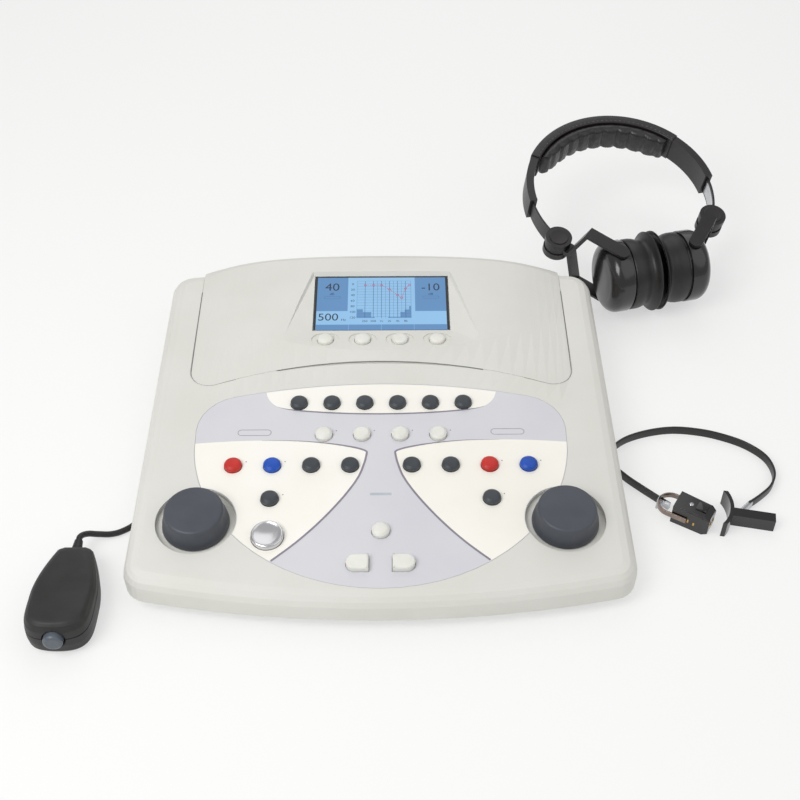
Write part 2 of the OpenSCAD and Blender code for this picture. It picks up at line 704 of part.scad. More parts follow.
// Slices of the handset: share of its height, and how far each stands in.
handset_slices = [[0, 4.5], [0.04, 2.4], [0.14, 0.6], [0.35, 0], [0.55, 0.2], [0.76, 1], [0.9, 2.8], [0.97, 5], [1, 8.5]];
// The top slopes down to the cord end.
handset_lean = 7;
module handset_shape(t) {
    hull() {
        for (s = handset_slices) {
            translate([handset_x, handset_y - handset_len / 2, s[0] * (handset_h - 2 * t) + t])
                rotate([-handset_lean * max(0, s[0] - 0.45) / 0.55, 0, 0]) translate([0, handset_len / 2, 0])
                linear_extrude(thin) polygon(handset_outline(s[1] + t));
        }
    }
}
switch_front = 17;
button_gap = 0.4;
button_lip_w = 1.2;
button_lip_t = 1.5;
button_lip_y = handset_wall + 3.5;
button_y = handset_y - handset_len / 2;
module handset_cuts() {
    translate([handset_x, button_y, handset_split]) rotate([-90, 0, 0]) {
        translate([0, 0, -5]) cylinder(d = button_d + 2 * button_gap, h = 12);
        // pocket that the button's lip slides in
        translate([0, 0, button_lip_y - button_gap])
            cylinder(r = button_d / 2 + button_lip_w + button_gap, h = button_lip_t + button_travel + 2 * button_gap);
    }
    translate([handset_x, handset_y + handset_len / 2 + 5, handset_split - 4]) rotate([90, 0, 0])
        cylinder(d = gland_d + 0.1, h = 12);
}
module handset_half_space(low, high) {
    translate([handset_x - 60, handset_y - 80, low]) cube([120, 160, high - low]);
}
module handset_upper() {
    color("#333338") difference() {
        intersection() {
            handset_shape(0);
            handset_half_space(handset_split, 60);
        }
        handset_shape(handset_wall);
        handset_cuts();
    }
}
module handset_lower() {
    color("#2E2E33") difference() {
        intersection() {
            handset_shape(0);
            handset_half_space(-1, handset_split - 0.02);
        }
        handset_shape(handset_wall);
        handset_cuts();
    }
}
module handset_button() {
    proud = 4;
    lip_end = button_lip_y + button_lip_t;
    stem_end = switch_front - button_travel - 0.3;
    color("#5A626B") translate([handset_x, button_y, handset_split]) rotate([-90, 0, 0]) rotate_extrude()
        polygon([[0, -proud], [button_d / 2 - 2, -proud + 0.15], [button_d / 2 - 0.5, -proud + 0.9],
            [button_d / 2, -proud + 2], [button_d / 2, button_lip_y], [button_d / 2 + button_lip_w, button_lip_y],
            [button_d / 2 + button_lip_w, lip_end], [3, lip_end], [3, stem_end], [0, stem_end]]);
}

// ---------- cord ----------
gland_d = 8;
gland_z = handset_split - 4;
coil_x = -20;
coil_y = 228.3;
coil_turns = 3.25;
coil_pitch = 5.6;
coil_mid_r = 25.5;
coil_low = 2.6;
coil_high = 8.3;
coil_out = coil_mid_r + coil_turns / 2 * coil_pitch;
// Free stretch from the handset to the coil, laid along the side of the case.
lead_route = [[-239.5, -110, 15], [-239.5, -106, 15], [-236, -100, 12], [-228, -96, 7], [-218, -93, 3.5], [-209, -88.5, 2.6],
    [-200, -80, 2.6], [-194.5, -64, 2.6], [-193, -35, 2.6], [-193, 0, 2.6], [-193, 40, 2.6], [-193, 80, 2.6],
    [-193, 120, 2.6], [-193, 150, 2.6], [-189, 172, 2.6], [-178, 188, 2.6], [-158, 197, 2.6], [-130, 199, 2.6],
    [-100, 197.5, 2.6], [-70, 195.2, 2.6], [-45, 193.8, 2.6],
    [-31, 193.7, 2.6], [-25, 193.7, 2.6]];
tail_route = [[-25, 262.9, 8.3], [-31, 262.9, 8.3], [-42, 261.5, 5.2], [-54, 258, 2.8], [-66, 252, 2.6], [-75, 244.5, 2.8],
    [-80, 238, 7], [-79, 231, 17], [-76.5, 224.5, 25.5], [-75, 219, 28], [-75, 213.4, 28]];
cord_sides = 8;
cord_step = 12;
function norm_of(v) = v / norm(v);
function spline_at(p, i, t) = let (a = p[max(i - 1, 0)], b = p[i], c = p[i + 1], d = p[min(i + 2, len(p) - 1)])
    0.5 * ((2 * b) + (c - a) * t + (2 * a - 5 * b + 4 * c - d) * t * t + (3 * b - a - 3 * c + d) * t * t * t);
function spline(p, step) = concat([for (i = [0:len(p) - 2]) let (n = max(1, round(norm(p[i + 1] - p[i]) / step)))
    each [for (k = [0:n - 1]) spline_at(p, i, k / n)]], [p[len(p) - 1]]);
// Sweeps a round section along the points, keeping the section upright.
function tube_rings(path, r, sides) = [for (i = [0:len(path) - 1]) let (
        d = norm_of(path[min(i + 1, len(path) - 1)] - path[max(i - 1, 0)]),
        across = norm_of(cross(d, abs(d[2]) > 0.9 ? [1, 0, 0] : [0, 0, 1])), up = cross(across, d))
    [for (j = [0:sides - 1]) let (a = (j + 0.5) / sides * 360) path[i] + r * (cos(a) * across + sin(a) * up)]];
module tube(path, r, sides) {
    loft(tube_rings(path, r, sides));
}
module handset_cord() {
    color(black_c) {
        tube(spline(lead_route, cord_step), cord_d / 2, cord_sides);
        tube(spline(tail_route, cord_step), cord_d / 2, cord_sides);
    }
}
// The coil winds in on the table and out again on top, in one unbroken tube.
coil_per_turn = 24;
coil_start_a = -90;
function smooth(t) = t * t * (3 - 2 * t);
function coil_point(s) = let (n = coil_turns, half = s <= n ? s : 2 * n - s, a = coil_start_a + s * 360,
        r = coil_out - half * coil_pitch, climb = smooth(min(1, max(0, (s - n + 0.25) / 0.5))))
    [coil_x + r * cos(a), coil_y + r * sin(a), coil_low + (coil_high - coil_low) * climb];
coil_path = concat([[coil_x - cord_d, coil_y - coil_out, coil_low]],
    [for (i = [0:2 * coil_turns * coil_per_turn]) coil_point(i / coil_per_turn)],
    [[coil_x - cord_d, coil_y + coil_out, coil_high]]);
module cord_coil() {
    color(black_c) tube(coil_path, cord_d / 2, 6);
}
coil_gaps = [for (i = [0:3:len(coil_path) - 1]) for (j = [i + 18:3:len(coil_path) - 1])
    norm(coil_path[i] - coil_path[j]) - cord_d];
echo(least_gap_in_coil = min(coil_gaps));
plug_x = -75;
plug_y = rear_y(plug_x) + 0.3;
plug_end = 213.4;
plug_len = plug_end - plug_y;
module cord_ends() {
    color("#222226") {
        translate([handset_x, handset_y + handset_len / 2 - 4, gland_z]) rotate([-90, 0, 0]) rotate_extrude()
            polygon([[0, 0], [gland_d / 2, 0], [gland_d / 2, 6], [cord_d / 2 + 0.8, 13], [0, 13]]);
        translate([plug_x, plug_y, socket_z]) rotate([-90, 0, 0]) rotate_extrude()
            polygon([[0, -14], [2.4, -14], [3.1, -12], [3.1, 0], [5.2, 0], [5.2, 15], [4.2, 17],
                [cord_d / 2 + 0.8, plug_len], [0, plug_len]]);
    }
}

// ---------- headset ----------
headset_x = case_half_w + 65.5;
headset_y = 207;
headset_turn = 13;
band_top_y = 95;
headset_tilt = 16;
headset_rest = 0.1;
module headset_place() {
    translate([headset_x, headset_y, lip_r + headset_rest]) rotate([0, 0, headset_turn]) rotate([headset_tilt, 0, 0])
        children();
}
module at_band() {
    translate([0, band_top_y, 0]) children();
}
slot_gap = 0.3;
slot_reach = 48;
slider_reach = 26;
hub_angle = 30;
module sector(r_in, r_out, w, from, to) {
    rotate([0, 0, from]) rotate_extrude(angle = to - from, $fn = 180)
        translate([r_in, -w / 2]) square([r_out - r_in, w]);
}
module headband_arch() {
    color(black_c) headset_place() at_band() difference() {
        sector(band_r - band_t / 2, band_r + band_t / 2, band_w, 0, 180);
        for (from = [-1, 180 - slot_reach]) sector(band_r - strip_t / 2 - slot_gap, band_r + strip_t / 2 + slot_gap,
            strip_w + 2 * slot_gap, from, from + slot_reach + 1);
    }
}
pad_half_angle = 51;
sleeve_t = 1.2;
sleeve_half_angle = 54;
pad_channels = 10;
// The pad swells inwards between its drawn-in ends and is gathered into channels.
function pad_ring(a) = let (e = abs(a) / pad_half_angle, full = pow(max(0, 1 - pow(e, 6)), 0.4),
        fold = 0.5 + 0.5 * cos(a / pad_half_angle * pad_channels * 180), t = (pad_t - 1) * (0.3 + 0.7 * full) + 1.2 * fold,
        w = (band_w / 2 + sleeve_t) * (0.84 + 0.16 * full), r = band_r - band_t / 2 - sleeve_t - 0.05)
    [for (p = [[-0.82, 0], [0.82, 0], [1, 0.22], [1, 0.55], [0.86, 0.82], [0.5, 0.97], [0, 1.02], [-0.5, 0.97],
            [-0.86, 0.82], [-1, 0.55], [-1, 0.22]])
        [(r - p[1] * t) * cos(90 + a), (r - p[1] * t) * sin(90 + a), p[0] * w]];
module headband_pad() {
    color("#2A2829") headset_place() at_band() {
        loft([for (i = [0:60]) pad_ring((i / 30 - 1) * pad_half_angle)]);
        difference() {
            sector(band_r - band_t / 2 - sleeve_t, band_r + band_t / 2 + sleeve_t, band_w + 2 * sleeve_t,
                90 - sleeve_half_angle, 90 + sleeve_half_angle);
            sector(band_r - band_t / 2 - 0.02, band_r + band_t / 2 + 0.02, band_w + 0.04,
                89 - sleeve_half_angle, 91 + sleeve_half_angle);
        }
    }
}
hub_half_h = 10;
tongue_half_h = 2.7;
tongue_gap = 0.3;
hub_inner = tongue_half_h + tongue_gap;
module mirror_side(side) {
    if (side > 0) children();
    else mirror([1, 0, 0]) children();
}
module at_hub() {
    at_band() rotate([0, 0, -hub_angle]) translate([band_r, 0, 0]) children();
}
module slider(side) {
    color("#8F9194") headset_place() mirror_side(side) {
        difference() {
            union() {
                at_band() sector(band_r - strip_t / 2, band_r + strip_t / 2, strip_w, -hub_angle + 4, slider_reach);
                at_hub() cylinder(d = hub_d, h = 2 * hub_half_h, center = true);
            }
            at_hub() cylinder(d = hub_d + 1.2, h = 2 * hub_inner, center = true);
        }
        at_hub() cylinder(d = hub_pin_d, h = 2 * hub_inner + 1, center = true);
    }
}
cup_depth = 24;
cushion_depth = 25;
cup_pivot_x = 37;
prong_z = cup_r + 0.9;
prong_w = 13;
prong_t = 2.8;
cup_pin_d = 4;
pin_depth = 4;
neck_len = 15;
fork_rise = 12;
fork_overlap = 3;
function hub_pos() = [band_r * cos(hub_angle), band_top_y - band_r * sin(hub_angle)];
arm_angle = atan2(0 - hub_pos()[1], cup_pivot_x - hub_pos()[0]);
arm_len = norm(hub_pos() - [cup_pivot_x, 0]);
module yoke(side) {
    h = hub_pos();
    color("#2C2B2C") headset_place() mirror_side(side) {
        translate([h[0], h[1], 0]) rotate([0, 0, arm_angle]) {
            difference() {
                union() {
                    cylinder(d = hub_d - 2, h = 2 * tongue_half_h, center = true);
                    translate([0, -prong_w / 2, -tongue_half_h]) cube([neck_len + 3, prong_w, 2 * tongue_half_h]);
                }
                cylinder(d = hub_pin_d + 0.1, h = 20, center = true);
            }
            for (s = [-1, 1]) {
                z = s * (prong_z + prong_t / 2) - prong_t / 2;
                hull() {
                    translate([neck_len, -prong_w / 2, s * (tongue_half_h - 1) - 1]) cube([fork_overlap, prong_w, 2]);
                    translate([neck_len + fork_rise, -prong_w / 2, z]) cube([fork_overlap, prong_w, prong_t]);
                }
                translate([neck_len + fork_rise, -prong_w / 2, z]) cube([arm_len - neck_len - fork_rise, prong_w, prong_t]);
                translate([arm_len, 0, z]) cylinder(d = prong_w, h = prong_t);
                translate([arm_len, 0, s * (prong_z - pin_depth / 2 + 0.1) - pin_depth / 2]) cylinder(d = cup_pin_d, h = pin_depth);
            }
        }
    }
}
cup_in = cushion_gap / 2 + cushion_depth;
cup_wall = 2.6;
cup_dome = 12;
driver_r = 21;
// Turns a profile of [radius, distance along the ear axis] about the ear axis.
module about_ear() {
    rotate([0, 90, 0]) rotate_extrude($fn = 72) children();
}
module cup(side) {
    x1 = cup_in + 0.3;
    x2 = x1 + cup_depth - 1;
    color("#2A292B") headset_place() mirror_side(side) {
        difference() {
            about_ear() polygon(concat([[0, x1], [cup_r - 2.4, x1], [cup_r - 2.4, x1 + 1.6], [cup_r - 0.6, x1 + 1.6], [cup_r, x1 + 2.4]],
                [for (i = [0:7]) let (a = i / 7 * 90)
                    [cup_r - cup_dome * (1 - cos(a)), x2 - cup_dome * 0.9 + cup_dome * 0.9 * sin(a)]],
                [[0, x2 + 1]]));
            about_ear() polygon(concat([[0, x1 + cup_wall], [cup_r - cup_wall, x1 + cup_wall]],
                [for (i = [0:7]) let (a = i / 7 * 90) [cup_r - cup_wall - (cup_dome - 1) * (1 - cos(a)),
                    x2 - cup_wall - cup_dome * 0.9 + (cup_dome * 0.9) * sin(a)]],
                [[0, x2 + 1 - cup_wall]]));
            about_ear() translate([0, x1 - 1]) square([driver_r - 3, 8]);
            translate([cup_pivot_x, 0, 0]) cylinder(d = cup_pin_d + 0.1, h = 3 * cup_r, center = true);
        }
        // driver behind its hole
        about_ear() polygon([[0, x1 + cup_wall + 1], [6, x1 + cup_wall + 1], [driver_r - 4, x1 + cup_wall],
            [driver_r, x1 + cup_wall], [driver_r, x1 + cup_wall + 3], [12, x1 + cup_wall + 7], [12, x1 + cup_wall + 13],
            [0, x1 + cup_wall + 13]]);
    }
}
ear_hole_r = 20;
module cushion(side) {
    x0 = cushion_gap / 2;
    d = cushion_depth;
    color("#1F1F21") headset_place() mirror_side(side) about_ear() polygon([
        [ear_hole_r, x0 + d], [cup_r - 1.4, x0 + d], [cup_r - 0.4, x0 + d - 1], [cup_r - 0.4, x0 + d - 8],
        [cup_r - 1.2, x0 + d - 12], [cup_r - 2.6, x0 + d - 17], [cup_r - 3.2, x0 + 7], [cup_r - 2.2, x0 + 4.4],
        [lip_r - 1.2, x0 + 2], [lip_r, x0 + 1], [lip_r - 0.2, x0 + 0.3], [lip_r - 1, x0],
        [lip_r - 5, x0 + 1.2], [30, x0 + 4], [26, x0 + 8], [23, x0 + 12], [21, x0 + 17]]);
}

// ---------- bone conduction set ----------
// The set lies beside the case: x is counted from the case's side.
bone_points = [[108.5, -66], [120.5, -57], [131.5, -46], [137.5, -31], [134.5, -13], [121.5, 2], [104.5, 12],
    [84.5, 19], [60.5, 22], [36.5, 18], [15.5, 9], [2, -5], [1.5, -20], [10.5, -34], [21.5, -46], [33.5, -58],
    [39.5, -64]];
rivet_plate = [[36.5, -61.5], [42.5, -67]];
arm_clip = [[98.7, -76], [104.5, -70], [110.5, -64.5]];
function beside_case(points, z) = [for (p = points) [case_half_w + p[0], p[1], z]];
// A flat strip on its edge along the points.
module strip(path, t, h) {
    loft([for (i = [0:len(path) - 1]) let (
            d = norm_of(path[min(i + 1, len(path) - 1)] - path[max(i - 1, 0)]), a = [-d[1], d[0], 0], p = path[i])
        [p - a * t / 2, p - a * t / 2 + [0, 0, h], p + a * t / 2 + [0, 0, h], p + a * t / 2]]);
}
vib_x = case_half_w + 59;
vib_y = -80;
vib_turn = -32;
vib_pivot = [-7, 0];
fork_half = vibrator_w / 2 + 0.5;
fork_t = 1.4;
fork_h = 5;
fork_back = 19;
module at_vibrator() {
    translate([vib_x, vib_y, 0]) rotate([0, 0, vib_turn]) children();
}
fork_z = vibrator_h / 2;
module bone_band() {
    color("#2B2A2B") strip(spline(beside_case(bone_points, 0), 7), bone_band_t, bone_band_h);
    color(steel_c) {
        // rivet plate between the strip and the fork
        strip(beside_case(rivet_plate, 0.6), bone_band_t + 1.6, bone_band_h - 1.2);
        at_vibrator() {
            translate([-fork_back, 0, fork_z - fork_h / 2]) difference() {
                cylinder(r = fork_half + fork_t, h = fork_h);
                translate([0, 0, -1]) cylinder(r = fork_half, h = fork_h + 2);
                translate([0, -20, -1]) cube([40, 40, fork_h + 2]);
            }
            for (s = [-1, 1]) translate([-fork_back - 0.1, s * (fork_half + fork_t / 2) - fork_t / 2, fork_z - fork_h / 2])
                cube([fork_back + 0.1 + vib_pivot[0] + 3, fork_t, fork_h]);
            for (s = [-1, 1]) translate([vib_pivot[0], s * (fork_half - 0.9), fork_z]) rotate([90, 0, 0])
                cylinder(d = vibrator_pin_d, h = 3.2, center = true);
            // stem that carries the fork up from the strip
            translate([-fork_back - fork_half - fork_t, -3, 1]) cube([1.6, 6, fork_z + fork_h / 2 - 1]);
        }
    }
    // clip that holds the temple pad's arm
    color(steel_c) strip(beside_case(arm_clip, 0.8), bone_band_t + 1.4, bone_band_h - 1.6);
}
module bone_vibrator() {
    color("#1E1E20") at_vibrator() translate([0, 0, 0.3]) difference() {
        hull() {
            for (s = [-1, 1]) {
                for (z = [0, vibrator_h - 3]) translate([-vibrator_l / 2 + 1, s * (vibrator_w / 2 - 1.5), z + 1.5]) cube([0.1, 3, 3], center = true);
            }
            translate([-vibrator_l / 2 + 2, -vibrator_w / 2, 0]) cube([vibrator_l - 6, vibrator_w, vibrator_h - 2]);
            translate([-vibrator_l / 2 + 3, -vibrator_w / 2 + 2, 0]) cube([vibrator_l - 8, vibrator_w - 4, vibrator_h]);
            translate([vibrator_l / 2 - 2, -vibrator_w / 2 + 2, 1]) cube([2, vibrator_w - 4, vibrator_h - 5]);
        }
        for (s = [-1, 1]) translate([vib_pivot[0], s * vibrator_w / 2, fork_z - 0.3]) rotate([90, 0, 0])
            cylinder(d = vibrator_pin_d + 0.1, h = 6, center = true);
        for (s = [-1, 1]) translate([vibrator_l / 2, s * 2.6, vibrator_h / 2 - 1]) rotate([0, 90, 0])
            cylinder(d = 2.4, h = 8, center = true);
    }
}
temple_h = 12;
temple_x = case_half_w + 91.5;
temple_y = -80;
temple_turn = -12;
temple_r = 34;
module temple_pad() {
    color("#1E1E20") translate([temple_x, temple_y, 0]) rotate([0, 0, temple_turn]) {
        intersection() {
            translate([-temple_r, 0, 0]) difference() {
                cylinder(r = temple_r, h = temple_h + 4, $fn = 96);
                translate([0, 0, -1]) cylinder(r = temple_r - 3, h = 30, $fn = 96);
            }
            translate([-10, -18, 0]) cube([12, 36, temple_h + 4]);
        }
        translate([-2.2, -4.5, 0]) cube([36, 9, temple_h]);
    }
}

// ---------- drawing ----------
base_tray();
top_shell();
rear_cover();
control_overlay();
display_window();
lcd_module();
circuit_boards();
switch_bodies();
rubber_feet();
case_screws();
rear_sockets();
screen_key(1);  // soft_key_1
screen_key(2);  // soft_key_2
screen_key(3);  // soft_key_3
screen_key(4);  // soft_key_4
panel_key(menu_x(1), menu_y, dark_c);  // menu_key_1
panel_key(menu_x(2), menu_y, dark_c);  // menu_key_2
panel_key(menu_x(3), menu_y, dark_c);  // menu_key_3
panel_key(menu_x(4), menu_y, dark_c);  // menu_key_4
panel_key(menu_x(5), menu_y, dark_c);  // menu_key_5
panel_key(menu_x(6), menu_y, dark_c);  // menu_key_6
panel_key(mode_x(1), mode_y, white_c);  // mode_key_1
panel_key(mode_x(2), mode_y, white_c);  // mode_key_2
panel_key(mode_x(3), mode_y, white_c);  // mode_key_3
panel_key(mode_x(4), mode_y, white_c);  // mode_key_4
panel_key(-channel_key_x(3), channel_y, red_c);  // stim_right_key
panel_key(-channel_key_x(2), channel_y, blue_c);  // stim_left_key
panel_key(-channel_key_x(1), channel_y, dark_c);  // stim_output_key
panel_key(-channel_key_x(0), channel_y, dark_c);  // stim_input_key
panel_key(channel_key_x(0), channel_y, dark_c);  // mask_input_key
panel_key(channel_key_x(1), channel_y, dark_c);  // mask_output_key
panel_key(channel_key_x(2), channel_y, red_c);  // mask_right_key
panel_key(channel_key_x(3), channel_y, blue_c);  // mask_left_key
panel_key(-mode_key_x, mode_row_y, dark_c);  // stim_mode_key
panel_key(mode_key_x, mode_row_y, dark_c);  // mask_mode_key
panel_key(0, store_y, white_c);  // store_key
freq_key(-1);  // freq_down_key
freq_key(1);  // freq_up_key
interrupter_key();
level_dial(-1);  // stim_dial
level_dial(1);  // mask_dial
handset_upper();
handset_lower();
handset_button();
cord_ends();
handset_cord();
cord_coil();
headband_arch();
headband_pad();
slider(-1);  // slider_left
slider(1);  // slider_right
yoke(-1);  // yoke_left
yoke(1);  // yoke_right
cup(-1);  // cup_left
cup(1);  // cup_right
cushion(-1);  // cushion_left
cushion(1);  // cushion_right
bone_band();
bone_vibrator();
temple_pad();
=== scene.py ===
# Desk audiometer with its response handset, headset and bone conduction set.
# The CAD frame gives the shapes and places. This file gives the finishes, the
# printed field, the lit screen, the finer turned parts, the soft parts and the cord.
from math import atan, atan2, cos, pi, radians, sin, sqrt, tan

import bmesh
import bpy
from mathutils import Matrix, Vector, noise
from mathutils.bvhtree import BVHTree


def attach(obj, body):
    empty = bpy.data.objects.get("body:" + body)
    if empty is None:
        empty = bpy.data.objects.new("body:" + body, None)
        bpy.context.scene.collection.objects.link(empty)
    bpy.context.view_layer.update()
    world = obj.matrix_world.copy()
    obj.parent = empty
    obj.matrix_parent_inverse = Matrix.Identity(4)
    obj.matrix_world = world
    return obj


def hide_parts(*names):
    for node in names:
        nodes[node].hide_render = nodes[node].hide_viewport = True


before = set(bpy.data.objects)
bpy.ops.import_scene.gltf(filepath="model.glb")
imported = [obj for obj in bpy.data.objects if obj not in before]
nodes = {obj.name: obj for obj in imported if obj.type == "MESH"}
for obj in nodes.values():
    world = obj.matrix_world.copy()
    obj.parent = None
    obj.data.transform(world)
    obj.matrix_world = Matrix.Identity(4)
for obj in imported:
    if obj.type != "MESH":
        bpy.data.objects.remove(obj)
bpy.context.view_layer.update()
scene = bpy.context.scene
scene.view_settings.view_transform = "Standard"
mm = 0.001
print("frame loaded:", len(nodes), "nodes")

# camera
cameraLook = {"place": (0.0104, -0.7251, 0.7497), "lens": 53.97, "pitch": 46.565, "turn": -0.431}


def makeCamera():
    lens = bpy.data.cameras.new("camera")
    lens.lens = cameraLook["lens"]
    lens.sensor_width = 36
    camera = bpy.data.objects.new("camera", lens)
    camera.location = cameraLook["place"]
    camera.rotation_euler = (radians(cameraLook["pitch"]), 0, radians(cameraLook["turn"]))
    scene.collection.objects.link(camera)
    scene.camera = camera


makeCamera()

# the handset's cord
# the route's points in millimetres, as they stand in the part's source
cordRun = {
    "diameter": 5,
    "lead": [(-239.5, -110, 15), (-239.5, -106, 15), (-236, -100, 12), (-228, -96, 7), (-218, -93, 3.5),
             (-209, -88.5, 2.6), (-200, -80, 2.6), (-194.5, -64, 2.6), (-193, -35, 2.6), (-193, 0, 2.6),
             (-193, 40, 2.6), (-193, 80, 2.6), (-193, 120, 2.6), (-193, 150, 2.6), (-189, 172, 2.6),
             (-178, 188, 2.6), (-158, 197, 2.6), (-130, 199, 2.6), (-100, 197.5, 2.6), (-70, 195.2, 2.6),
             (-45, 193.8, 2.6), (-31, 193.7, 2.6)],
    "tail": [(-31, 262.9, 8.3), (-42, 261.5, 5.2), (-54, 258, 2.8), (-66, 252, 2.6), (-75, 244.5, 2.8),
             (-80, 238, 7), (-79, 231, 17), (-76.5, 224.5, 25.5), (-75, 219, 28), (-75, 213.4, 28)],
    "coilPlace": (-20, 228.3), "coilTurns": 3.25, "coilPitch": 5.6, "coilRadius": 25.5,
    "coilLow": 2.6, "coilHigh": 8.3, "pointsPerTurn": 24,
}


def coilPoints():
    run = cordRun
    outer = run["coilRadius"] + run["coilTurns"] / 2 * run["coilPitch"]
    points = []
    for i in range(int(2 * run["coilTurns"] * run["pointsPerTurn"]) + 1):
        turn = i / run["pointsPerTurn"]
        inward = turn if turn <= run["coilTurns"] else 2 * run["coilTurns"] - turn
        climb = min(1, max(0, (turn - run["coilTurns"] + 0.25) / 0.5))
        climb = climb * climb * (3 - 2 * climb)
        angle = radians(-90 + turn * 360)
        radius = outer - inward * run["coilPitch"]
        points.append((run["coilPlace"][0] + radius * cos(angle), run["coilPlace"][1] + radius * sin(angle),
                       run["coilLow"] + (run["coilHigh"] - run["coilLow"]) * climb))
    return points


def makeCord():
    points = cordRun["lead"] + coilPoints() + cordRun["tail"]
    shape = bpy.data.curves.new("handsetLead", "CURVE")
    shape.dimensions = "3D"
    # each knot's radius gives the thickness, so that the curve's own box is true
    shape.bevel_depth = 1
    shape.bevel_resolution = 3
    shape.resolution_u = 4
    line = shape.splines.new("BEZIER")
    line.bezier_points.add(len(points) - 1)
    for knot, point in zip(line.bezier_points, points):
        knot.co = Vector(point) * mm
        knot.handle_left_type = knot.handle_right_type = "AUTO"
        knot.radius = cordRun["diameter"] / 2 * mm
    cord = bpy.data.objects.new("handsetLead", shape)
    scene.collection.objects.link(cord)
    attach(cord, "console")
    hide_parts("handset_cord", "cord_coil")
    return cord


cord = makeCord()


# building materials
def linear(hexColour):
    channels = [int(hexColour[i:i + 2], 16) / 255 for i in (1, 3, 5)]
    return [c / 12.92 if c <= 0.04045 else ((c + 0.055) / 1.055) ** 2.4 for c in channels] + [1]


def addNode(tree, kind, settings=None, links=None):
    node = tree.nodes.new(kind)
    for name, value in (settings or {}).items():
        if isinstance(name, str) and hasattr(node, name):
            setattr(node, name, value)
        else:
            node.inputs[name].default_value = value
    for name, source in (links or {}).items():
        tree.links.new(source, node.inputs[name])
    return node


def startMaterial(name, sockets):
    material = bpy.data.materials.new(name)
    material.use_nodes = True
    tree = material.node_tree
    shader = tree.nodes["Principled BSDF"]
    for socket, value in sockets.items():
        shader.inputs[socket].default_value = value
    place = addNode(tree, "ShaderNodeTexCoord").outputs["Object"]
    return material, tree, shader, place


def setRamp(ramp, stops):
    for mark, (at, colour) in zip(ramp.color_ramp.elements, stops):
        mark.position = at
        mark.color = linear(colour)


# A moulded or coated surface: two near colours in soft patches, a roughness that
# drifts a little, and a fine grain. Sizes are in millimetres.
def mouldedSurface(name, look):
    material, tree, shader, place = startMaterial(name, look.get("sockets", {}))
    patches = addNode(tree, "ShaderNodeTexNoise", {"Scale": 1000 / look["patch"], "Detail": 3.0}, {"Vector": place})
    tint = addNode(tree, "ShaderNodeValToRGB", links={"Fac": patches.outputs["Fac"]})
    setRamp(tint, [(0.35, look["colour"]), (0.65, look["shade"])])
    fine = addNode(tree, "ShaderNodeTexNoise", {"Scale": 1000 / look["grain"], "Detail": 2.0}, {"Vector": place})
    speck = addNode(tree, "ShaderNodeMix",
                    {"data_type": "RGBA", "blend_type": "MULTIPLY", "Factor": look.get("speck", 0.06)},
                    {6: tint.outputs["Color"], 7: fine.outputs["Fac"]})
    tree.links.new(speck.outputs[2], shader.inputs["Base Color"])
    drift = addNode(tree, "ShaderNodeMapRange", {"To Min": look["rough"][0], "To Max": look["rough"][1]},
                    {"Value": patches.outputs["Fac"]})
    tree.links.new(drift.outputs["Result"], shader.inputs["Roughness"])
    bump = addNode(tree, "ShaderNodeBump", {"Strength": look.get("bump", 0.3), "Distance": look["depth"] * mm},
                   {"Height": fine.outputs["Fac"]})
    tree.links.new(bump.outputs["Normal"], shader.inputs["Normal"])
    return material


# moulded ABS with a spark-eroded texture: even, soft gloss, no sharp reflections
shellAbs = mouldedSurface("mouldedAbsWarmGrey", {
    "colour": "#E0DFD9", "shade": "#DCDBD4", "patch": 60, "grain": 0.7, "depth": 0.03, "rough": (0.42, 0.5),
    "speck": 0.03, "sockets": {"IOR": 1.53}})
trayAbs = mouldedSurface("mouldedAbsTray", {
    "colour": "#CBCCC6", "shade": "#C5C6BF", "patch": 50, "grain": 0.9, "depth": 0.05, "rough": (0.5, 0.6),
    "sockets": {"IOR": 1.53}})
# reverse-printed polyester film with a fine matt texture
overlayFilm = mouldedSurface("printedFilmLilacGrey", {
    "colour": "#D8D8DD", "shade": "#D3D3D9", "patch": 80, "grain": 0.5, "depth": 0.012, "rough": (0.36, 0.42),
    "speck": 0.03, "sockets": {"IOR": 1.6}})
creamInk = mouldedSurface("printedFilmCream", {
    "colour": "#FBF9F1", "shade": "#F7F4EA", "patch": 80, "grain": 0.5, "depth": 0.012, "rough": (0.36, 0.42),
    "speck": 0.02, "sockets": {"IOR": 1.6}})
mauveInk = mouldedSurface("printedFilmMauveLine", {
    "colour": "#8D8592", "shade": "#857D8B", "patch": 20, "grain": 0.5, "depth": 0.01, "rough": (0.38, 0.44),
    "sockets": {"IOR": 1.6}})
paleInk = mouldedSurface("printedFilmPaleBlue", {
    "colour": "#BCC4CB", "shade": "#B5BEC6", "patch": 20, "grain": 0.5, "depth": 0.01, "rough": (0.38, 0.44),
    "sockets": {"IOR": 1.6}})
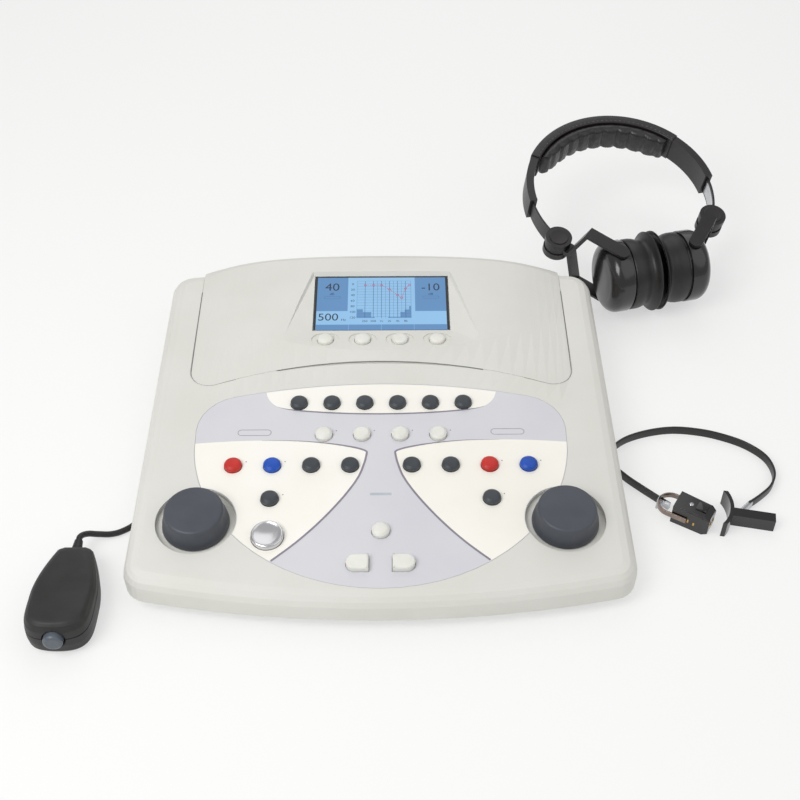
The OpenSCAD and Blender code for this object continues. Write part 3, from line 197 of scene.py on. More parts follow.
# keys in moulded silicone rubber, a little softer in sheen than the case
darkKeyRubber = mouldedSurface("siliconeRubberCharcoal", {
    "colour": "#42474C", "shade": "#3B4045", "patch": 12, "grain": 0.35, "depth": 0.02, "rough": (0.38, 0.46),
    "sockets": {"IOR": 1.43, "Sheen Weight": 0.05}})
whiteKeyRubber = mouldedSurface("siliconeRubberWhite", {
    "colour": "#EBEBE4", "shade": "#E4E4DC", "patch": 12, "grain": 0.35, "depth": 0.02, "rough": (0.36, 0.44),
    "speck": 0.02, "sockets": {"IOR": 1.43, "Subsurface Weight": 0.08, "Subsurface Scale": 0.002}})
redKeyRubber = mouldedSurface("siliconeRubberRed", {
    "colour": "#CB3129", "shade": "#BE2A24", "patch": 12, "grain": 0.35, "depth": 0.02, "rough": (0.36, 0.44),
    "sockets": {"IOR": 1.43}})
blueKeyRubber = mouldedSurface("siliconeRubberBlue", {
    "colour": "#1E55BE", "shade": "#1A4BAA", "patch": 12, "grain": 0.35, "depth": 0.02, "rough": (0.36, 0.44),
    "sockets": {"IOR": 1.43}})
# soft-touch lacquer over the dials' ABS: broad, blurred highlights
dialLacquer = mouldedSurface("softTouchLacquerSlate", {
    "colour": "#4B4F57", "shade": "#454951", "patch": 25, "grain": 0.4, "depth": 0.015, "rough": (0.42, 0.5),
    "sockets": {"IOR": 1.5}})
# the handset's casing has a coarser leather-like texture, nearly matt
handsetAbs = mouldedSurface("texturedAbsBlack", {
    "colour": "#2A2B2A", "shade": "#242523", "patch": 18, "grain": 0.8, "depth": 0.06, "bump": 0.5,
    "rough": (0.46, 0.56), "speck": 0.25, "sockets": {"IOR": 1.5}})
buttonAbs = mouldedSurface("mouldedAbsBlueGrey", {
    "colour": "#5C646C", "shade": "#555D66", "patch": 9, "grain": 0.3, "depth": 0.012, "rough": (0.3, 0.38),
    "sockets": {"IOR": 1.5}})
# a mid grey for the strip over the rear cover's joint: painted shade for the seam's shadow line
seamShadeGrey = mouldedSurface("paintedSeamShadeGrey", {
    "colour": "#7E7F7B", "shade": "#767773", "patch": 12, "grain": 0.5, "depth": 0.01, "rough": (0.6, 0.7)})
footRubber = mouldedSurface("mouldedRubberFoot", {
    "colour": "#3A3A3C", "shade": "#333335", "patch": 8, "grain": 0.6, "depth": 0.05, "rough": (0.7, 0.82),
    "sockets": {"IOR": 1.5}})
cordPvc = mouldedSurface("extrudedPvcBlack", {
    "colour": "#211E1F", "shade": "#1B191A", "patch": 14, "grain": 0.5, "depth": 0.02, "rough": (0.36, 0.46),
    "sockets": {"IOR": 1.52}})
socketNylon = mouldedSurface("mouldedNylonBlack", {
    "colour": "#2B2C2F", "shade": "#25262A", "patch": 10, "grain": 0.4, "depth": 0.02, "rough": (0.4, 0.5),
    "sockets": {"IOR": 1.53}})
# the headset's black parts: glass-filled nylon, satin, brownish under the lamp
bandNylon = mouldedSurface("mouldedNylonBand", {
    "colour": "#242021", "shade": "#1E1A1C", "patch": 22, "grain": 0.45, "depth": 0.02, "rough": (0.34, 0.42),
    "sockets": {"IOR": 1.53}})
yokeNylon = mouldedSurface("mouldedNylonYoke", {
    "colour": "#211D1E", "shade": "#1B1819", "patch": 18, "grain": 0.45, "depth": 0.02, "rough": (0.32, 0.4),
    "sockets": {"IOR": 1.53}})
cupAbs = mouldedSurface("polishedAbsBlack", {
    "colour": "#1B191A", "shade": "#171516", "patch": 25, "grain": 0.6, "depth": 0.006, "rough": (0.18, 0.26),
    "sockets": {"IOR": 1.54, "Coat Weight": 0.35, "Coat Roughness": 0.1}})
cushionRubber = mouldedSurface("softNeopreneBlack", {
    "colour": "#1D1B1B", "shade": "#181616", "patch": 15, "grain": 0.5, "depth": 0.02, "rough": (0.36, 0.46),
    "sockets": {"IOR": 1.5}})
vibratorAbs = mouldedSurface("polishedAbsVibrator", {
    "colour": "#0F0E0F", "shade": "#0B0A0B", "patch": 10, "grain": 0.3, "depth": 0.006, "rough": (0.12, 0.2),
    "sockets": {"IOR": 1.54, "Coat Weight": 0.35, "Coat Roughness": 0.06}})
sleevePvc = mouldedSurface("shrunkPvcSleeve", {
    "colour": "#1D1B1B", "shade": "#181616", "patch": 10, "grain": 0.4, "depth": 0.015, "rough": (0.3, 0.4),
    "sockets": {"IOR": 1.52}})
boardLaminate = mouldedSurface("glassEpoxyLaminate", {
    "colour": "#2F6B3F", "shade": "#28603A", "patch": 6, "grain": 0.6, "depth": 0.03, "rough": (0.3, 0.4),
    "sockets": {"IOR": 1.55}})
switchNylon = mouldedSurface("mouldedNylonSwitch", {
    "colour": "#55585C", "shade": "#4D5054", "patch": 6, "grain": 0.4, "depth": 0.02, "rough": (0.4, 0.5),
    "sockets": {"IOR": 1.53}})
lcdFrameSteel = mouldedSurface("plainSheetSteel", {
    "colour": "#9AA0A4", "shade": "#8F959A", "patch": 15, "grain": 0.5, "depth": 0.02, "rough": (0.3, 0.4),
    "sockets": {"Metallic": 1.0}})
# bright steel wire and strip, slightly drawn
springSteel = mouldedSurface("polishedSpringSteel", {
    "colour": "#C9CBCE", "shade": "#B9BCC0", "patch": 6, "grain": 0.3, "depth": 0.01, "rough": (0.16, 0.26),
    "sockets": {"Metallic": 1.0}})
hoopSteel = mouldedSurface("bronzedSpringSteel", {
    "colour": "#9A8C84", "shade": "#857870", "patch": 12, "grain": 0.4, "depth": 0.01, "rough": (0.2, 0.3),
    "sockets": {"Metallic": 1.0}})
goldPlate = mouldedSurface("goldPlatedBrass", {
    "colour": "#D9B368", "shade": "#C79C50", "patch": 2, "grain": 0.2, "depth": 0.005, "rough": (0.18, 0.28),
    "sockets": {"Metallic": 1.0}})


# turned and chrome-plated: fine rings round the key's own middle, which the light
# draws out into fans; the rings are drawn about 1 mm apart so that they show
def spunChrome(name, middle, ringGap=0.987):
    material, tree, shader, place = startMaterial(name, {"Metallic": 1.0, "Roughness": 0.22})
    centred = addNode(tree, "ShaderNodeMapping", {"vector_type": "POINT", "Location": [-v for v in middle]},
                      {"Vector": place})
    rings = addNode(tree, "ShaderNodeTexWave",
                    {"wave_type": "RINGS", "rings_direction": "Z", "Scale": 2 * pi / 20 / (ringGap * mm),
                     "Distortion": 0.4, "Detail": 1.0},
                    {"Vector": centred.outputs["Vector"]})
    tint = addNode(tree, "ShaderNodeValToRGB", links={"Fac": rings.outputs["Fac"]})
    setRamp(tint, [(0.0, "#CFCFD2"), (1.0, "#E6E6E8")])
    tree.links.new(tint.outputs["Color"], shader.inputs["Base Color"])
    bump = addNode(tree, "ShaderNodeBump", {"Strength": 0.25, "Distance": 0.01 * mm}, {"Height": rings.outputs["Fac"]})
    tree.links.new(bump.outputs["Normal"], shader.inputs["Normal"])
    return material


# thin split leather, gathered: pebbled cells about 0.9 mm across, creases across
# the pad with painted shade darkening their hollows, and a shine on the worn crests
def wrinkledLeather(name, look):
    material, tree, shader, place = startMaterial(name, {"IOR": 1.5, "Coat Weight": 0.15, "Coat Roughness": 0.3})
    cells = addNode(tree, "ShaderNodeTexVoronoi", {"feature": "DISTANCE_TO_EDGE", "Scale": 1000 / look["cell"]},
                    {"Vector": place})
    folds = addNode(tree, "ShaderNodeTexNoise",
                    {"Scale": 1000 / look["fold"], "Detail": 6.0, "Roughness": 0.62, "Distortion": 0.8},
                    {"Vector": place})
    # the colour follows the folds' height: the hollows take the darker colour as painted shade in the creases, the
    # crests the lighter
    tint = addNode(tree, "ShaderNodeValToRGB", links={"Fac": folds.outputs["Fac"]})
    setRamp(tint, [(0.3, look["shade"]), (0.7, look["colour"])])
    tree.links.new(tint.outputs["Color"], shader.inputs["Base Color"])
    gloss = addNode(tree, "ShaderNodeMapRange", {"From Min": 0.3, "From Max": 0.7, "To Min": 0.5, "To Max": 0.28},
                    {"Value": folds.outputs["Fac"]})
    tree.links.new(gloss.outputs["Result"], shader.inputs["Roughness"])
    soft = addNode(tree, "ShaderNodeBump", {"Strength": 0.55, "Distance": 0.6 * mm}, {"Height": folds.outputs["Fac"]})
    pebble = addNode(tree, "ShaderNodeBump", {"Strength": 0.35, "Distance": 0.12 * mm},
                     {"Height": cells.outputs["Distance"], "Normal": soft.outputs["Normal"]})
    tree.links.new(pebble.outputs["Normal"], shader.inputs["Normal"])
    return material


padLeather = wrinkledLeather("gatheredLeatherBlack", {
    "cell": 0.9, "fold": 5.0, "colour": "#2A2627", "shade": "#171415"})
sleeveLeather = wrinkledLeather("stretchedLeatherBlack", {
    "cell": 0.8, "fold": 14.0, "colour": "#242021", "shade": "#1B1819"})
# waxed sewing thread
sewingThread = mouldedSurface("waxedThreadGrey", {
    "colour": "#6A6668", "shade": "#5A5658", "patch": 2, "grain": 0.25, "depth": 0.03, "rough": (0.5, 0.6)})


# the backlit panel: the colour comes from the lamp behind it
def backlit(name, colour, power=0.92):
    material, tree, shader, place = startMaterial(name, {"Base Color": linear("#10141A"), "Roughness": 0.35,
                                                         "Emission Strength": power})
    glow = addNode(tree, "ShaderNodeTexNoise", {"Scale": 1000 / 70, "Detail": 1.0}, {"Vector": place})
    tint = addNode(tree, "ShaderNodeMix",
                   {"data_type": "RGBA", "blend_type": "MULTIPLY", 6: linear(colour), "Factor": 0.12},
                   {7: glow.outputs["Fac"]})
    tree.links.new(tint.outputs[2], shader.inputs["Emission Color"])
    return material


lcdPale = backlit("backlitPanelPale", "#93C6F0")
lcdDeep = backlit("backlitPanelDeep", "#5D90C4")
lcdInk = backlit("backlitPanelInk", "#16304E", 0.5)
lcdRed = backlit("backlitPanelRed", "#C23A5A", 0.9)
lcdLine = backlit("backlitPanelLine", "#3A6C97", 0.75)
blackMask = mouldedSurface("screenPrintBlack", {
    "colour": "#17171B", "shade": "#131317", "patch": 10, "grain": 0.4, "depth": 0.005, "rough": (0.3, 0.38)})


def clearAcrylic(name):
    material, tree, shader, place = startMaterial(name, {"Transmission Weight": 1.0, "IOR": 1.49})
    smudge = addNode(tree, "ShaderNodeTexNoise", {"Scale": 1000 / 25, "Detail": 2.0}, {"Vector": place})
    gloss = addNode(tree, "ShaderNodeMapRange", {"To Min": 0.01, "To Max": 0.05}, {"Value": smudge.outputs["Fac"]})
    tree.links.new(gloss.outputs["Result"], shader.inputs["Roughness"])
    tint = addNode(tree, "ShaderNodeValToRGB", links={"Fac": smudge.outputs["Fac"]})
    setRamp(tint, [(0.3, "#F8FBFF"), (0.7, "#F2F7FC")])
    tree.links.new(tint.outputs["Color"], shader.inputs["Base Color"])
    return material


windowAcrylic = clearAcrylic("clearCastAcrylic")
cord.data.materials.append(cordPvc)
print("materials mixed")


# the frame's own parts get their finishes
finishes = {
    "base_tray": trayAbs, "top_shell": shellAbs, "rear_cover": shellAbs, "control_overlay": overlayFilm,
    "display_window": windowAcrylic, "lcd_module": lcdFrameSteel, "circuit_boards": boardLaminate,
    "switch_bodies": switchNylon, "rubber_feet": footRubber, "case_screws": springSteel, "rear_sockets": socketNylon,
    "handset_upper": handsetAbs, "handset_lower": handsetAbs, "handset_button": buttonAbs, "cord_ends": cordPvc,
    "headband_arch": bandNylon, "headband_pad": sleeveLeather, "slider_left": bandNylon, "slider_right": bandNylon,
    "yoke_left": yokeNylon, "yoke_right": yokeNylon, "cup_left": cupAbs, "cup_right": cupAbs,
    "cushion_left": cushionRubber, "cushion_right": cushionRubber, "bone_band": sleevePvc,
    "bone_vibrator": vibratorAbs, "temple_pad": vibratorAbs, "interrupter_key": darkKeyRubber,
    "stim_dial": dialLacquer, "mask_dial": dialLacquer,
}
for name, finish in finishes.items():
    part = nodes[name]
    if part.material_slots:
        for place in part.material_slots:
            place.material = finish
    else:
        part.data.materials.append(finish)


# helpers for new pieces
def linkPiece(name, mesh, body, material, smooth=35):
    mesh.materials.clear()
    mesh.materials.append(material)
    mesh.shade_smooth()
    mesh.set_sharp_from_angle(angle=radians(smooth))
    piece = bpy.data.objects.new(name, mesh)
    scene.collection.objects.link(piece)
    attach(piece, body)
    return piece


def takeShape(name, shape, place=None):
    if place:
        bmesh.ops.transform(shape, matrix=place, verts=shape.verts)
    mesh = bpy.data.meshes.new(name)
    shape.to_mesh(mesh)
    shape.free()
    return mesh


# a section swept round the z axis through part of a turn
def sweepSection(shape, angle, steps):
    everything = list(shape.verts) + list(shape.edges) + list(shape.faces)
    bmesh.ops.spin(shape, geom=everything, cent=(0, 0, 0), axis=(0, 0, 1), angle=angle, steps=steps, use_merge=False)
    bmesh.ops.remove_doubles(shape, verts=shape.verts, dist=1e-6)


# closed rings of the same count, skinned one to the next and capped
def skinRings(shape, rings):
    for near, far in zip(rings, rings[1:]):
        for i in range(len(near)):
            k = (i + 1) % len(near)
            shape.faces.new((near[i], near[k], far[k], far[i]))
    shape.faces.new(rings[0][::-1])
    shape.faces.new(rings[-1])


# a turned piece for one side; the mirrored side has its faces put right again
def sidedMesh(name, shape, place, side):
    mesh = takeShape(name, shape, place)
    if side < 0:
        mesh.flip_normals()
    return mesh


# spins a profile of (radius, height) pairs in millimetres about the z axis
def turnedShape(profile, steps):
    shape = bmesh.new()
    verts = [shape.verts.new((r * mm, 0, h * mm)) for r, h in profile]
    edges = [shape.edges.new(pair) for pair in zip(verts, verts[1:])]
    bmesh.ops.spin(shape, geom=verts + edges, cent=(0, 0, 0), axis=(0, 0, 1), angle=2 * pi, steps=steps, use_merge=True)
    bmesh.ops.remove_doubles(shape, verts=shape.verts, dist=1e-6)
    bmesh.ops.recalc_face_normals(shape, faces=shape.faces)
    return shape


# a rounded corner of a profile, from one direction to the next
def arcPoints(middle, radius, start, end, count):
    return [(middle[0] + radius * cos(radians(start + (end - start) * i / count)),
             middle[1] + radius * sin(radians(start + (end - start) * i / count))) for i in range(count + 1)]


# panel
panel = {"front": 34, "frontY": 165, "tilt": 4.5}


def panelZ(y):
    return panel["front"] + (y + panel["frontY"]) * tan(radians(panel["tilt"]))


def onPanel(x, y, h=0):
    return (Matrix.Translation((x * mm, y * mm, panelZ(y) * mm)) @ Matrix.Rotation(radians(panel["tilt"]), 4, "X")
            @ Matrix.Translation((0, 0, h * mm)))


def onPlane(h):
    return onPanel(0, 0, h)


# keys
keyForm = {"radius": 7.1, "height": 5, "flange": 8.7, "flangeLow": -4.3, "flangeTop": -3.3, "stem": 1.5,
           "stemLow": -11.9, "steps": 56}
keyPlaces = {}
for i in range(6):
    keyPlaces["menu_key_" + str(i + 1)] = ((i - 2.5) * 27.8, 12, "dark")
for i in range(4):
    keyPlaces["mode_key_" + str(i + 1)] = ((i - 1.5) * 31.6, -22.8, "white")
channelX = [25 + 31.6 * i for i in range(4)]
for i, (name, tone) in enumerate([("input", "dark"), ("output", "dark"), ("left", "blue"), ("right", "red")]):
    keyPlaces["stim_" + name + "_key"] = (-channelX[i], -55.5, tone)
for i, (name, tone) in enumerate([("input", "dark"), ("output", "dark"), ("right", "red"), ("left", "blue")]):
    keyPlaces["mask_" + name + "_key"] = (channelX[i], -55.5, tone)
keyPlaces["stim_mode_key"] = (-88, -89.2, "dark")
keyPlaces["mask_mode_key"] = (88, -89.2, "dark")
keyPlaces["store_key"] = (0, -120.5, "white")
keyTones = {"dark": (darkKeyRubber, "dark_key"), "white": (whiteKeyRubber, "white_key"),
            "red": (redKeyRubber, "red_key"), "blue": (blueKeyRubber, "blue_key")}


# a rubber key: straight skirt, rounded shoulder, a faint step and a domed top
def keyProfile(form):
    r, h = form["radius"], form["height"]
    return ([(0, form["stemLow"]), (form["stem"], form["stemLow"]), (form["stem"], form["flangeLow"]),
             (form["flange"], form["flangeLow"]), (form["flange"], form["flangeTop"]), (r, form["flangeTop"]),
             (r, h - 3.0)] + arcPoints((r - 1.1, h - 2.6), 1.1, 0, 62, 5)
            + arcPoints((r - 3.2, h - 3.05), 2.9, 48, 84, 5) + [(r - 4.4, h - 0.08), (r - 5.8, h - 0.01), (0, h)])


for name, (x, y, tone) in keyPlaces.items():
    material, slotName = keyTones[tone]
    mesh = takeShape(name, turnedShape(keyProfile(keyForm), keyForm["steps"]), onPanel(x, y))
    piece = linkPiece("cap_" + name, mesh, name, material, 40)
    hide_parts(name)
print("round keys made:", len(keyPlaces))

# the pair of D-shaped frequency keys
freqForm = {"x": 9, "y": -151, "width": 17.4, "depth": 13.5, "height": 5, "round": 1.6}
for side, name in ((-1, "freq_down_key"), (1, "freq_up_key")):
    half = freqForm["depth"] / 2
    shape = bmesh.new()
    bmesh.ops.create_circle(shape, cap_ends=True, segments=48, radius=half * mm)
    flat = -(freqForm["width"] - half) * mm
    for vert in shape.verts:
        if vert.co.x < -1e-6:
            vert.co.x = flat
    grown = bmesh.ops.extrude_face_region(shape, geom=list(shape.faces))
    lifted = [g for g in grown["geom"] if isinstance(g, bmesh.types.BMVert)]
    bmesh.ops.translate(shape, vec=(0, 0, (freqForm["height"] - keyForm["flangeLow"]) * mm), verts=lifted)
    high = max(v.co.z for v in shape.verts)
    rim = [e for e in shape.edges if all(v.co.z > high - 1e-6 for v in e.verts)]
    bmesh.ops.bevel(shape, geom=rim, offset=freqForm["round"] * mm, segments=5, profile=0.5, affect="EDGES",
                    material=-1)
    bmesh.ops.recalc_face_normals(shape, faces=shape.faces)
    turn = Matrix.Scale(side, 4, (1, 0, 0))
    middleX = freqForm["x"] + freqForm["width"] - half
    place = onPanel(0, freqForm["y"]) @ turn @ Matrix.Translation((middleX * mm, 0, keyForm["flangeLow"] * mm))
    mesh = sidedMesh(name, shape, place, side)
    piece = linkPiece("cap_" + name, mesh, name, whiteKeyRubber, 40)
    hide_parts(name)

# the tone key: a dished chrome disc in a plain skirt
toneForm = {"x": -87.5, "y": -125.1, "radius": 12.7, "height": 4.4, "flange": 14.3, "edge": 1.4}
middle = onPanel(toneForm["x"], toneForm["y"]).translation
toneChrome = spunChrome("spunChromePlate", middle)
r, h = toneForm["radius"], toneForm["height"]
low, flangeLow, flangeTop, edge = keyForm["stemLow"], keyForm["flangeLow"], keyForm["flangeTop"], toneForm["edge"]
toneProfile = ([(0, low), (keyForm["stem"], low), (keyForm["stem"], flangeLow), (toneForm["flange"], flangeLow),
                (toneForm["flange"], flangeTop), (r, flangeTop), (r, h - edge)]
               + arcPoints((r - edge, h - edge), edge, 0, 100, 8)
               + [(r - 2.2, h - 0.4), (r - 4.5, h - 0.75), (r - 7, h - 1.15), (r - 9.5, h - 1.45), (0, h - 1.6)])
mesh = takeShape("toneKey", turnedShape(toneProfile, 96), onPanel(toneForm["x"], toneForm["y"]))
piece = linkPiece("cap_interrupter_key", mesh, "interrupter_key", toneChrome, 30)
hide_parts("interrupter_key")

# the four keys under the screen stand on their own sloping strip
stripForm = {"y": 75.3, "midY": 60.5, "midZ": 66.4, "endY": 87.8, "endZ": 64.6, "pitch": 32.7, "radius": 7}
stripSlope = (stripForm["endZ"] - stripForm["midZ"]) / (stripForm["endY"] - stripForm["midY"])
stripZ = stripForm["midZ"] + (stripForm["y"] - stripForm["midY"]) * stripSlope
for i in range(4):
    name = "soft_key_" + str(i + 1)
    r = stripForm["radius"]
    profile = ([(0, -7), (1.5, -7), (1.5, -3.8), (r + 1, -3.8), (r + 1, -3), (r, -3), (r, 0.2)]
               + arcPoints((r - 2.2, 0.3), 2.2, 0, 78, 7) + [(r - 3.6, 2.72), (r - 5.2, 2.79), (0, 2.8)])
    place = (Matrix.Translation(((i - 1.5) * stripForm["pitch"] * mm, stripForm["y"] * mm, stripZ * mm))
             @ Matrix.Rotation(atan(stripSlope), 4, "X"))
    mesh = takeShape(name, turnedShape(profile, 56), place)
    piece = linkPiece("cap_" + name, mesh, name, whiteKeyRubber, 40)
    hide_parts(name)
print("tone, frequency and screen keys made")

# dials
dialForm = {"x": 144.5, "y": -109.5, "radius": 26.35, "topRadius": 23.2, "floor": -4.4, "height": 18.6}
for side, name in ((-1, "stim_dial"), (1, "mask_dial")):
    top = dialForm["floor"] + dialForm["height"]
    rTop = dialForm["topRadius"]
    profile = ([(0, -12.9), (3, -12.9), (3, 3.6), (7.5, 3.6), (7.5, dialForm["floor"])]
               + arcPoints((dialForm["radius"] - 1, dialForm["floor"] + 1), 1, -90, 0, 4)
               + [(dialForm["radius"] - 0.9, 2), (rTop + 0.6, top - 6)]
               + arcPoints((rTop - 2.6, top - 2.6), 2.6, 6, 84, 9)
               + [(rTop - 5, top + 0.1), (rTop - 9, top + 0.25), (rTop - 14, top + 0.36), (0, top + 0.4)])
    mesh = takeShape(name, turnedShape(profile, 128), onPanel(side * dialForm["x"], dialForm["y"]))
    piece = linkPiece("knob_" + name, mesh, name, dialLacquer, 30)
    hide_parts(name)
print("dials made")


# printed field
# loops of (x, y) in millimetres become one flat filled mesh; a loop inside
# another is a hole
def flatPiece(name, loops, place, material, body="console"):
    sheet = bpy.data.curves.new(name, "CURVE")
    sheet.dimensions = "2D"
    sheet.fill_mode = "BOTH"
    for loop in loops:
        line = sheet.splines.new("POLY")
        line.points.add(len(loop) - 1)
        for knot, (x, y) in zip(line.points, loop):
            knot.co = (x * mm, y * mm, 0, 1)
        line.use_cyclic_u = True
    return meshFrom(name, sheet, place, material, body)


def meshFrom(name, data, place, material, body="console"):
    holder = bpy.data.objects.new(name, data)
    mesh = bpy.data.meshes.new_from_object(holder)
    bpy.data.objects.remove(holder)
    if mesh.polygons and mesh.polygons[0].normal.z < 0:
        mesh.flip_normals()
    mesh.transform(place)
    return linkPiece(name, mesh, body, material)


def wordPiece(name, words, size, x, y, place, material):
    text = bpy.data.curves.new(name, "FONT")
    text.body = words
    text.size = size * mm
    text.align_x = text.align_y = "CENTER"
    return meshFrom(name, text, place @ Matrix.Translation((x * mm, y * mm, 0)), material)


def circleLoop(x, y, radius, count=40):
    return [(x + radius * cos(2 * pi * i / count), y + radius * sin(2 * pi * i / count)) for i in range(count)]


def boxLoop(x0, y0, x1, y1):
    return [(x0, y0), (x1, y0), (x1, y1), (x0, y1)]


def smoothLine(points, count=8):
    line = []
    for i in range(len(points) - 1):
        a, b, c, d = [Vector(points[min(max(k, 0), len(points) - 1)]) for k in (i - 1, i, i + 1, i + 2)]
        for k in range(count):
            t = k / count
            p = 0.5 * (2 * b + (c - a) * t + (2 * a - 5 * b + 4 * c - d) * t * t + (3 * b - a - 3 * c + d) * t ** 3)
            line.append((p.x, p.y))
    return line + [tuple(points[-1])]


# a line as a closed loop; it thins towards an end over a share of its length
def ribbonLoop(points, width, fadeIn=0.0, fadeOut=0.0):
    left, right = [], []
    last = len(points) - 1
    for i, point in enumerate(points):
        a, b = Vector(points[max(i - 1, 0)]), Vector(points[min(i + 1, last)])
        along = (b - a).normalized()
        half = width / 2
        if fadeIn:
            half *= min(1, 0.1 + i / last / fadeIn)
        if fadeOut:
            half *= min(1, 0.1 + (last - i) / last / fadeOut)
        left.append((point[0] - along.y * half, point[1] + along.x * half))
        right.append((point[0] + along.y * half, point[1] - along.x * half))
    return left + right[::-1]


def pillLoop(x, y, width, height, count=12):
    r = height / 2
    reach = width / 2 - r
    loop = []
    for end, start in ((reach, -90), (-reach, 90)):
        loop += arcPoints((x + end, y), r, start, start + 180, count)
    return loop


slope = cos(radians(panel["tilt"]))
field = {
    "crescent": [(-98, 25.4), (-97, 20.5), (-94.2, 15), (-89.5, 10), (-83, 6.9), (-74, 5), (-60, 3.2), (-40, 1.5),
                 (-20, 0.5), (0, 0.2)],
    "sideTop": [(-153, -31.5), (-135, -30), (-115, -28.9), (-92, -28.6), (-66, -29.4), (-41, -32.4), (-22, -36.4),
                (-13.5, -39.4)],
    "sideInner": [(-11.6, -41), (-12, -45), (-13.6, -53), (-17.6, -66), (-25, -80), (-36, -96.5), (-50, -114.5),
                  (-66, -132), (-83.5, -148.2)],
    "keyHole": 7.5, "toneHole": 13.1, "bowl": 32.1, "line": 1.5,
    "edge": (153.6, 147), "edgeY": -26, "edgeInset": 0.5, "edgeStart": 236.8, "edgeSweep": 56.8,
    "topRadius": 536.2, "topY": 33.9, "topHalf": 97.5,
    "pill": {"x": 105, "y": -20, "outer": (28, 6.5), "inner": (27.1, 5.6)},
    "bar": (-8.5, -85.9, 8.5, -83.4), "lamp": {"x": 10.2, "y": 4.6, "radius": 0.55},
}


def sideZone():
    inner = smoothLine(field["sideTop"]) + smoothLine(field["sideInner"])
    edge = []
    acrossX, acrossY = [half - field["edgeInset"] for half in field["edge"]]
    for i in range(161):
        angle = radians(field["edgeStart"] - field["edgeSweep"] * i / 160)
        edge.append((acrossX * cos(angle), field["edgeY"] + acrossY * sin(angle)))
    edge = [p for p in edge if p[0] < -84.5 and p[1] < -32]
    dial = Vector((-dialForm["x"], dialForm["y"] / slope))
    inside = [i for i, p in enumerate(edge) if (Vector(p) - dial).length < field["bowl"]]
    first, last = edge[inside[0] - 1], edge[inside[-1] + 1]
    start = atan2(first[1] - dial.y, first[0] - dial.x)
    end = atan2(last[1] - dial.y, last[0] - dial.x)
    turns = [start + (end - start) * i / 40 for i in range(41)]
    bite = [(dial.x + field["bowl"] * cos(a), dial.y + field["bowl"] * sin(a)) for a in turns]
    loop = inner + edge[:inside[0]] + bite + edge[inside[-1] + 1:]
    return loop, inner


def mirrored(loop):
    return [(-x, y) for x, y in loop]


leftHalf = smoothLine(field["crescent"])
lowerEdge = leftHalf + mirrored(leftHalf)[::-1][1:]
arcRadius, topHalf = field["topRadius"], field["topHalf"]
topEdge = [(x, field["topY"] - arcRadius + sqrt(arcRadius ** 2 - x * x))
           for x in [topHalf - 2 * topHalf * i / 60 for i in range(61)]]


def keyHoles(names):
    return [circleLoop(keyPlaces[n][0], keyPlaces[n][1] / slope, field["keyHole"]) for n in names]


menuHoles = keyHoles(["menu_key_" + str(i) for i in range(1, 7)])
flatPiece("creamCrescent", [lowerEdge + topEdge] + menuHoles, onPlane(0.05), creamInk)
zoneLoop, zoneInner = sideZone()
zoneHoles = keyHoles([name for name in keyPlaces if name.startswith("stim_")])
toneHole = circleLoop(toneForm["x"], toneForm["y"] / slope, field["toneHole"])
flatPiece("creamZoneLeft", [zoneLoop, toneHole] + zoneHoles, onPlane(0.05), creamInk)
flatPiece("creamZoneRight", [mirrored(zoneLoop)] + [mirrored(loop) for loop in zoneHoles], onPlane(0.05), creamInk)
lineTop = [p for p in zoneInner if p[0] > -100]
lines = [ribbonLoop([p for p in lowerEdge if abs(p[0]) < 88], field["line"], 0.25, 0.25)]
for turn in (lambda loop: loop, mirrored):
    lines.append(turn(ribbonLoop(lineTop, field["line"] + 0.2, 0.3)))
flatPiece("mauveLines", lines, onPlane(0.09), mauveInk)
pill, lamp = field["pill"], field["lamp"]
pills = []
for x in (-pill["x"], pill["x"]):
    pills += [pillLoop(x, pill["y"], *pill["outer"]), pillLoop(x, pill["y"], *pill["inner"])]
flatPiece("pillOutlines", pills, onPlane(0.07), mauveInk)
flatPiece("responseBar", [boxLoop(*field["bar"])], onPlane(0.07), paleInk)
lampNames = ["mode_key_1", "mode_key_2", "mode_key_3", "mode_key_4", "stim_right_key", "stim_left_key", "stim_mode_key",
             "mask_right_key", "mask_left_key", "mask_mode_key"]
dots = [circleLoop(keyPlaces[n][0] + lamp["x"], keyPlaces[n][1] / slope + lamp["y"], lamp["radius"], 12)
        for n in lampNames]
flatPiece("lampDots", dots, onPlane(0.1), mauveInk)
print("printed field laid")

# a grey strip laid on the joint round the rear cover: painted shade that stands for the seam's dark shadow line
seamShade = {"halfWidth": 165.5, "front": 51, "drop": 18.3, "corner": 19, "lean": 16, "rear": 150, "curve": 2.2,
        "width": 1.0, "gap": 0.15, "rise": 0.12}


def sealLine():
    cornerX = seamShade["halfWidth"] - seamShade["corner"]
    endX = cornerX - seamShade["corner"] * sin(radians(seamShade["lean"]))
    r = seamShade["corner"] + seamShade["gap"]
    side = [(seamShade["halfWidth"] + seamShade["gap"],
             seamShade["rear"] + (seamShade["front"] - seamShade["rear"]) * i / 50) for i in range(50)]
    bend = [(cornerX + r * cos(radians(a)), seamShade["front"] + r * sin(radians(a))) for a in range(0, -107, -4)]
    front = []
    for i in range(1, 90):
        x = endX * (1 - i / 45)
        front.append((x, seamShade["front"] - seamShade["drop"] * (abs(x) / endX) ** seamShade["curve"] - seamShade["gap"]))
    return side + bend + front + mirrored(side + bend)[::-1]
